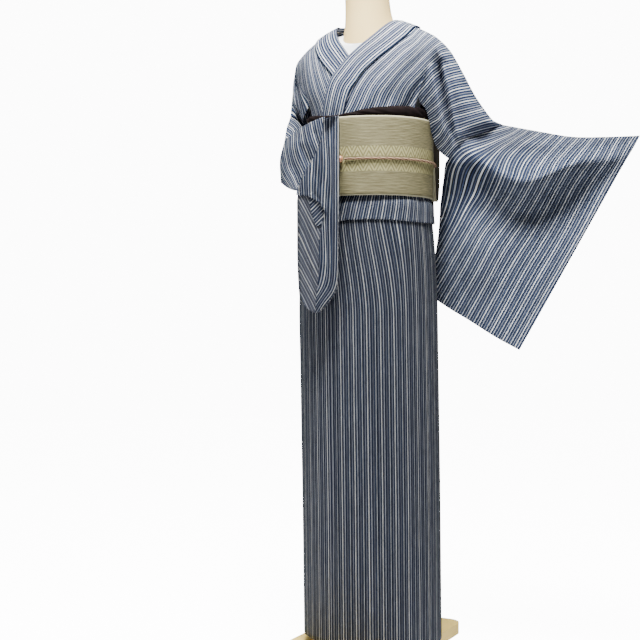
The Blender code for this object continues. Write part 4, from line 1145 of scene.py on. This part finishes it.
def make_upper_cloth(look, left_map):
    seam = armhole_rows(sleeve_front, sleeve_back, ARMHOLE_SHARES, LEFT_ROWS)
    sections = [[turned(*point) for point in section[:-1]] for section in LEFT_PLEAT]
    distances = [section[-1] for section in LEFT_PLEAT]
    grid, _, keys = upper_cloth(1.0, True, sections, distances, seam, DRAPE_PLACES, LEFT_ROWS, LEFT_PACE)
    before = (np.arange(len(grid)) < LEFT_ROWS)[:, None]
    across, _, up = to_view(grid)
    swell = fold_field(across, up, CHEST_FOLDS) * (before & (keys < 1.05)) * ease(up, *CHEST_FOLDS_START)
    drape = plateau(keys, DRAPE_FOLDS_START, DRAPE_FOLDS_END)
    swell += fold_field(*seen(grid), DRAPE_FOLDS) * before * drape
    mapped = left_map(grid)
    u = np.where(before, mapped, mapped[LEFT_ROWS - 1])
    piece = cloth("left_upper_body", [(nearer(grid, swell), u, lengths(grid, 0))], look)

    seam = armhole_rows(elbow_back, elbow_front, ELBOW_ARMHOLE_SHARES, RIGHT_ROWS)
    grid, u, _ = upper_cloth(-1.0, False, RIGHT_DRAPE, RIGHT_DISTANCES, seam, RIGHT_PLACES,
                             RIGHT_ROWS, RIGHT_PACE)
    swell = fold_field(*seen(grid), RIGHT_FOLDS) * (np.arange(len(grid)) < RIGHT_ROWS)[:, None]
    piece = cloth("right_upper_body", [(nearer(grid, swell), 0.006 - u, lengths(grid, 0))], look)


def collar_front(side, share, key):
    """A point of the collar on its side's front, a share of the way from its neck edge to its outer edge."""
    neck_reach, neck_height, outer_reach, outer_height = through(COLLAR_FRONT, key)[0]
    reach = neck_reach + share * (outer_reach - neck_reach)
    height = neck_height + share * (outer_height - neck_height)
    out = CLOTH / 2 + BAND / 2 + BAND_LIFT + (left_out(height) if side > 0 else 0.0)
    return side * reach, chest_depth(reach, height, out, False), height


def collar_back(share, key):
    """A point of the collar behind the neck; the key runs from the centre to the left shoulder."""
    shoulder = [collar_front(1.0, end, 0.0) for end in (0.0, 1.0)]
    neck, outer = through((*COLLAR_BACK, shoulder), key)[0]
    return neck + share * (outer - neck)


def collar_right(share, key):
    return collar_front(-1.0, share, key)


def collar_left(share, key):
    return collar_front(1.0, share, key)


def make_collar_cloth(look):
    """The collar from the right front's lower end round the nape to the left front's lower end."""
    fronts = np.concatenate(((0.0, 0.04, 0.14, 0.3, 0.5, 0.75), np.linspace(1.0, len(COLLAR_FRONT) - 1, 22)))
    backs = np.linspace(0.0, len(COLLAR_BACK), 2 * len(COLLAR_BACK) + 1)[:-1]
    shares = np.linspace(0.0, 1.0, 7)
    back = sampled(collar_back, shares, backs)
    right = sampled(collar_right, shares, fronts[::-1])
    left = sampled(collar_left, shares, fronts)
    grid = fine(np.concatenate((right, back[:0:-1] * (-1.0, 1.0, 1.0), back, left)), *GRIDS["collar"])
    run = lengths(grid, 1)
    u = run / run[:, -1:] * COLLAR_WIDTH + COLLAR_START
    piece = cloth("collar", [(grid, u, lengths(grid, 0))], look, THICK_WALL)


def make_left_sleeve_cloth(look, left_map):
    shares = np.linspace(0.0, 1.0, 25)
    downs = np.linspace(0.0, 1.0, 41)
    front = sampled(sleeve_front, shares, downs)
    back = sampled(sleeve_back, shares, downs)
    met = np.zeros(front.shape[:2], bool)
    met[[0, -1]] = True
    met[downs > CUFF_SHARE, -1] = True
    back[met] = front[met]
    front = fine(front, *GRIDS["left_sleeve"])
    back = fine(back, *GRIDS["left_sleeve_back"])
    for layer in (front, back):
        moved = np.interp(seen(layer)[1], *zip(*SLEEVE_EDGE)) * (1.0 - ease(shares_of(layer)[0], 0.0, 0.3))
        layer += moved[..., None] * turned(1.0, 0.0, 0.0)
    share, down = shares_of(front)
    across, _, up = to_view(front)
    padded = np.pad(np.interp(down, *zip(*SLEEVE_FOLD)), ((4, 4), (0, 0)), mode="edge")
    fold = sum(padded[shift:shift + len(down)] for shift in range(9)) / 9
    swell = fold_field(across, up, LEFT_SLEEVE_FOLDS) + fold * (0.3 + 0.7 * np.sin(np.pi * share) ** 0.6)
    turn = SLEEVE_TURN * (1.0 - ease(share, 0.0, 0.075)) * (1.0 - ease(seen(front)[1], 1.03, 1.09))
    rim = plateau(down, (0.0, 0.05), (0.94, 1.0))
    u = left_map(front)
    back_u = np.interp(shares_of(back)[0], share[0], u[0])
    front = nearer(front, (swell * plateau(share, (0.0, 0.05), (0.9, 1.0)) - turn) * rim)
    layers = [(front, u, lengths(front, 0)), (back, back_u, -lengths(back, 0))]
    piece = cloth("left_sleeve", layers, look)


def with_top(grid, drop):
    """The elbow's grid with its top edge brought to where it shows."""
    across, up = seen(grid[:1])
    share, down = shares_of(grid)
    change = np.interp(across, *zip(*ELBOW_TOP)) - drop - up
    grid[..., 2] += change * (1.0 - down) ** 2 * ease(share, 0.12, 0.32)
    return grid


def make_right_sleeve_cloth(look, bag_look, cuff_look):
    shares = np.linspace(0.0, 1.0, 21)
    downs = np.linspace(0.0, 1.0, 15)
    elbow = with_top(fine(sampled(elbow_front, shares, downs), *GRIDS["elbow"]), 0.0)
    inside = with_top(fine(sampled(elbow_back, shares, downs), *GRIDS["elbow_back"]), ELBOW_INSIDE_DROP)
    share, down = shares_of(elbow)
    u = stripe_map(ELBOW_STRIPES)(elbow)
    run = lengths(elbow, 1)
    # The columns that turn behind the elbow carry the stripes on by their own length
    turn = int(0.25 * elbow.shape[1])
    u[:, :turn] = u[:, turn:turn + 1] + run[:, turn:turn + 1] - run[:, :turn]
    lift = ELBOW_LIFT * ease(share, 0.45, 0.7) * (1.0 - ease(down, 0.25, 0.6))
    folds = fold_field(*seen(elbow), ELBOW_FOLDS) * plateau(down, (0.0, 0.12), (0.9, 1.0))
    elbow = nearer(elbow, folds + lift)
    layers = [(elbow, u, lengths(elbow, 0)), (inside, 0.26 * shares_of(inside)[0], lengths(inside, 0))]
    piece = cloth("right_sleeve_elbow", layers, look)

    keys = np.concatenate((np.linspace(-1.0, -0.3, 5), np.linspace(0.0, 1.0, 13)))
    downs = np.linspace(0.0, 1.0, 33)
    bag = fine(sampled(bag_front, keys, downs), *GRIDS["bag"])
    behind = fine(sampled(bag_back, keys, downs), *GRIDS["bag_back"])
    across, away, up = to_view(bag)
    u = 0.91 * across + 0.42 * up + 0.1 * away + 0.003 * np.sin(up * 40.0 + across * 50.0)
    rim = plateau(shares_of(bag)[1], (0.0, 0.1), (0.92, 1.0))
    bag = nearer(bag, fold_field(*seen(bag), BAG_FOLDS) * rim)
    layers = [(bag, u, up), (behind, to_view(behind)[0] + 0.14, behind[..., 2])]
    piece = cloth("right_sleeve_front", layers, bag_look)

    flap = laid_over(CUFF_FLAP, tree_of(elbow, bag), FLAP_LIFT, *GRIDS["flap"])
    across, up = seen(flap)
    piece = cloth("right_sleeve_flap", [(flap, 0.7 * across - 0.7 * up, 0.7 * across + 0.7 * up)], cuff_look)

    panel = laid_over(CUFF_PANEL, tree_of(elbow, bag, flap), CUFF_LIFT, *GRIDS["cuff"])
    across, up = seen(panel)
    tip = 0.5 * (up - CUFF_TIP - np.hypot(up - CUFF_TIP, CUFF_BEND))
    sway = 0.002 * np.sin(up * 31.0 + across * 60.0) * ease(-across, 0.075, 0.095)
    u = CUFF_EDGE - across + 0.75 * tip + sway
    panel = nearer(panel, np.clip(fold_field(across, up, CUFF_FOLDS), CUFF_DEEPEST, None))
    piece = cloth("right_sleeve_cuff", [(panel, u, up)], cuff_look, CUFF_WALL)


def belt_form(heights):
    sizes = read_table(BELT_FORM, heights)
    return np.column_stack((sizes, np.full(len(sizes), BELT_SHIFT)))


def make_belt_cloth(look, scarf, inner):
    angles = np.linspace(BELT_START, BELT_END, 220)
    turns = np.radians(angles)
    heights = np.linspace(BELT_BOTTOM, BELT_TOP, 24)[:, None]
    steps = BELT_FIRST + BELT_STEP * ease(angles, BELT_LAP_START, BELT_LAP_END)
    slack = BELT_SLACK * np.sin(turns * 7.0 + heights * 40.0) * np.sin(turns * 3.0 + 1.0)
    grid = wrapped(belt_form(heights[:, 0]), steps + slack, turns, heights)
    piece = cloth("belt_wrap", [(grid, turns * BELT_GIRTH, heights)], look, BELT_WALL)

    section = through(BOW_SECTION, np.linspace(0, len(BOW_SECTION) - 1, 6 * len(BOW_SECTION)))
    reaches = np.linspace(-BOW_HALF_WIDTH, BOW_HALF_WIDTH, 31)
    grid = np.stack(np.broadcast_arrays(reaches, *section.T[:, :, None]), axis=-1)
    run = lengths(grid, 0)
    bulge = BOW_BULGE * np.sin(reaches * 60.0 + 1.0) * np.sin(run * 30.0)
    grid = grid + normals_of(grid) * bulge[..., None]
    piece = cloth("belt_bow", [(grid, grid[..., 0], 1.1 - run)], look, BELT_WALL)
    # The bow's inner faces take the near-black second material: painted shade for the shadowed inside of the
    # drum.
    piece.data.materials.append(inner)
    piece.modifiers["wall"].material_offset = 1

    angles = np.linspace(-180.0, 179.6, 220)
    turns = np.radians(angles)
    out, rise, more = through(SCARF_SECTION, np.linspace(0.0, len(SCARF_SECTION) - 1.0, 26)).T[:, :, None]
    top = read_table(SCARF_TOP, angles)[:, 0]
    free = SCARF_PUCKER * ease(rise, 0.1, 0.5) * (0.6 + 0.4 * np.sin(turns * 5.0))
    pucker = free * np.sin(turns * 23.0 + 9.0 * rise)
    grid = wrapped(belt_form(BELT_TOP), out + pucker, turns, BELT_TOP + rise * (top - BELT_TOP) + more)
    layers = [(grid, turns * BELT_GIRTH, lengths(grid, 0))]
    piece = cloth("belt_scarf", layers, scarf, THICK_WALL)


def make_cord_piece(look):
    out = BELT_FIRST + BELT_STEP + BELT_CLOTH / 2 + CORD_RADIUS + GAP
    turns = np.radians(np.linspace(BEAD_ANGLE, 360.0 - BEAD_ANGLE, 900))
    path = wrapped(belt_form(CORD_HEIGHT), out, turns, CORD_HEIGHT)[0]
    run = lengths(path, 0)[:, None]
    ahead = np.gradient(path, axis=0)
    ahead /= np.linalg.norm(ahead, axis=1)[:, None]
    side = np.stack((ahead[:, 1], -ahead[:, 0], np.zeros(len(path))), axis=1)[:, None]
    around = np.linspace(0.0, 2 * math.pi, 17)
    strand = np.abs(np.cos(1.5 * (around + run * 2 * math.pi / CORD_LAY)))
    radius = CORD_RADIUS * (0.78 + 0.26 * strand)[..., None]
    rim = side * np.cos(around)[:, None] + np.array((0.0, 0.0, 1.0)) * np.sin(around)[:, None]
    cloth("belt_cord", [(path[:, None] + radius * rim, around * CORD_RADIUS * 1.2, run)], look, None)


def ring(half_width, half_depth, shift, height, slope=0.0, lift=0.0):
    """A ring of the form, sloping down to the front and lifted at its sides."""
    turns = 2 * math.pi * np.arange(FORM_COLUMNS) / FORM_COLUMNS
    away = half_depth * np.sin(turns) - shift
    up = height + slope * away + lift * np.cos(turns) ** 2
    return np.stack((half_width * np.cos(turns), away, up), axis=1)


def smooth_loft(name, rings, look):
    """A closed form through its rings."""
    grid = np.array(rings)
    index = np.arange(grid[..., 0].size).reshape(grid.shape[:2])
    after = np.roll(index, -1, axis=1)
    faces = np.stack((index[:-1], after[:-1], after[1:], index[1:]), axis=-1).reshape(-1, 4).tolist()
    mesh = bpy.data.meshes.new(name)
    mesh.from_pydata(grid.reshape(-1, 3).tolist(), [], faces + [index[-1].tolist(), index[0][::-1].tolist()])
    mesh.materials.append(look)
    mesh.shade_smooth()
    mesh.set_sharp_from_angle(angle=math.radians(40.0))
    shown_piece(name, mesh)


def make_form_pieces(cover, skin):
    heights = np.linspace(TORSO_FORM[0][0], TORSO_FORM[-1][0], 80)
    rings = [ring(width, depth, shift, height, lift=lift)
             for height, (width, depth, shift, lift) in zip(heights, read_table(TORSO_FORM, heights))]
    rings.append(ring(*NECK_SEAM, NECK_BASE - 1.5 * GAP, slope=NECK_SLOPE))
    smooth_loft("form_cover", rings, cover)
    neck = NECK_FORM[-1][0]
    rises = np.linspace(0.0, neck, 30)
    rings = [ring(*sizes, NECK_BASE + rise, slope=NECK_SLOPE * (1.0 - rise / neck))
             for rise, sizes in zip(rises, read_table(NECK_FORM, rises))]
    smooth_loft("form_neck", rings, skin)


def dress_node(node, look):
    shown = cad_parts[node]
    shown.data.materials.clear()
    shown.data.materials.append(look)


def build():
    make_camera()
    make_studio()
    # One striped cloth in lit and shaded copies, scaled by their painted light level: brightest on the body,
    # then darker on the sleeves, the folded sleeve, the tucked fold, the bag and the cuff, and darkest on the
    # skirt. This is painted light and shade.
    upper = striped_cloth("Striped cloth of the body", 0.95, 0.1)
    sleeves = striped_cloth("Striped cloth of the sleeves", 0.63, 0.12)
    folded = striped_cloth("Striped cloth of the folded sleeve", 0.6, 0.1)
    bag = striped_cloth("Striped cloth of the sleeve's bag", 0.42, 0.1, 0.36)
    cuff = striped_cloth("Striped cloth of the cuff", 0.4, 0.1)
    make_skirt_cloth(striped_cloth("Striped cloth of the skirt", 0.33, 0.0))
    make_tucked_fold(striped_cloth("Striped cloth of the tucked fold", 0.48, 0.05))
    left_map = stripe_map(LEFT_STRIPES)
    make_upper_cloth(upper, left_map)
    make_collar_cloth(upper)
    make_left_sleeve_cloth(sleeves, left_map)
    make_right_sleeve_cloth(folded, bag, cuff)
    scarf = mottled("Dark scarf", (0.012, 0.02, 3.0), ((0.002, 0.0018, 0.002), (0.014, 0.008, 0.008)), 0.9,
                    ((0.0012, 0.0012), 0.0004, 0.7), True, Specular_IOR_Level=0.08)
    slub = (0.02, 0.0016, 3.0)
    # Near-black cloth for the bow's inside: painted shade of its hollow.
    bow_painted_shade = mottled("Painted shade of the belt bow's inside", slub, ((0.006, 0.005, 0.004), (0.028, 0.025, 0.018)), 0.8,
                     (slub, 0.0004, 0.5), True, Specular_IOR_Level=0.1)
    make_belt_cloth(belt_cloth(), scarf, bow_painted_shade)
    make_cord_piece(cord_look())
    cover = mottled("White cover", (6.0,), ((0.84, 0.86, 0.88), (0.92, 0.93, 0.94)), 0.85,
                    ((1500.0, 1.0), 0.0002, 0.3))
    skin = mottled("Form surface", (9.0,), ((1.0, 0.7, 0.28), (1.0, 0.76, 0.35)), 0.6,
                   ((700.0, 2.0), 0.0001, 0.2), Specular_IOR_Level=0.2)
    make_form_pieces(cover, skin)
    coral = mottled("Coral bead", (180.0,), ((0.42, 0.16, 0.07), (0.68, 0.34, 0.19)), 0.3, Coat_Weight=0.25)
    brushed = (300.0, 2.0, 0.5, (1.0, 1.0, 0.02))
    metal = mottled("Pole metal", brushed, ((0.5, 0.5, 0.51), (0.6, 0.6, 0.61)), 0.35,
                    (brushed, 0.0001, 0.2), Metallic=1.0)
    dress_node("belt_bead", coral)
    dress_node("stand_board", wood_look())
    dress_node("stand_pole", metal)


build()
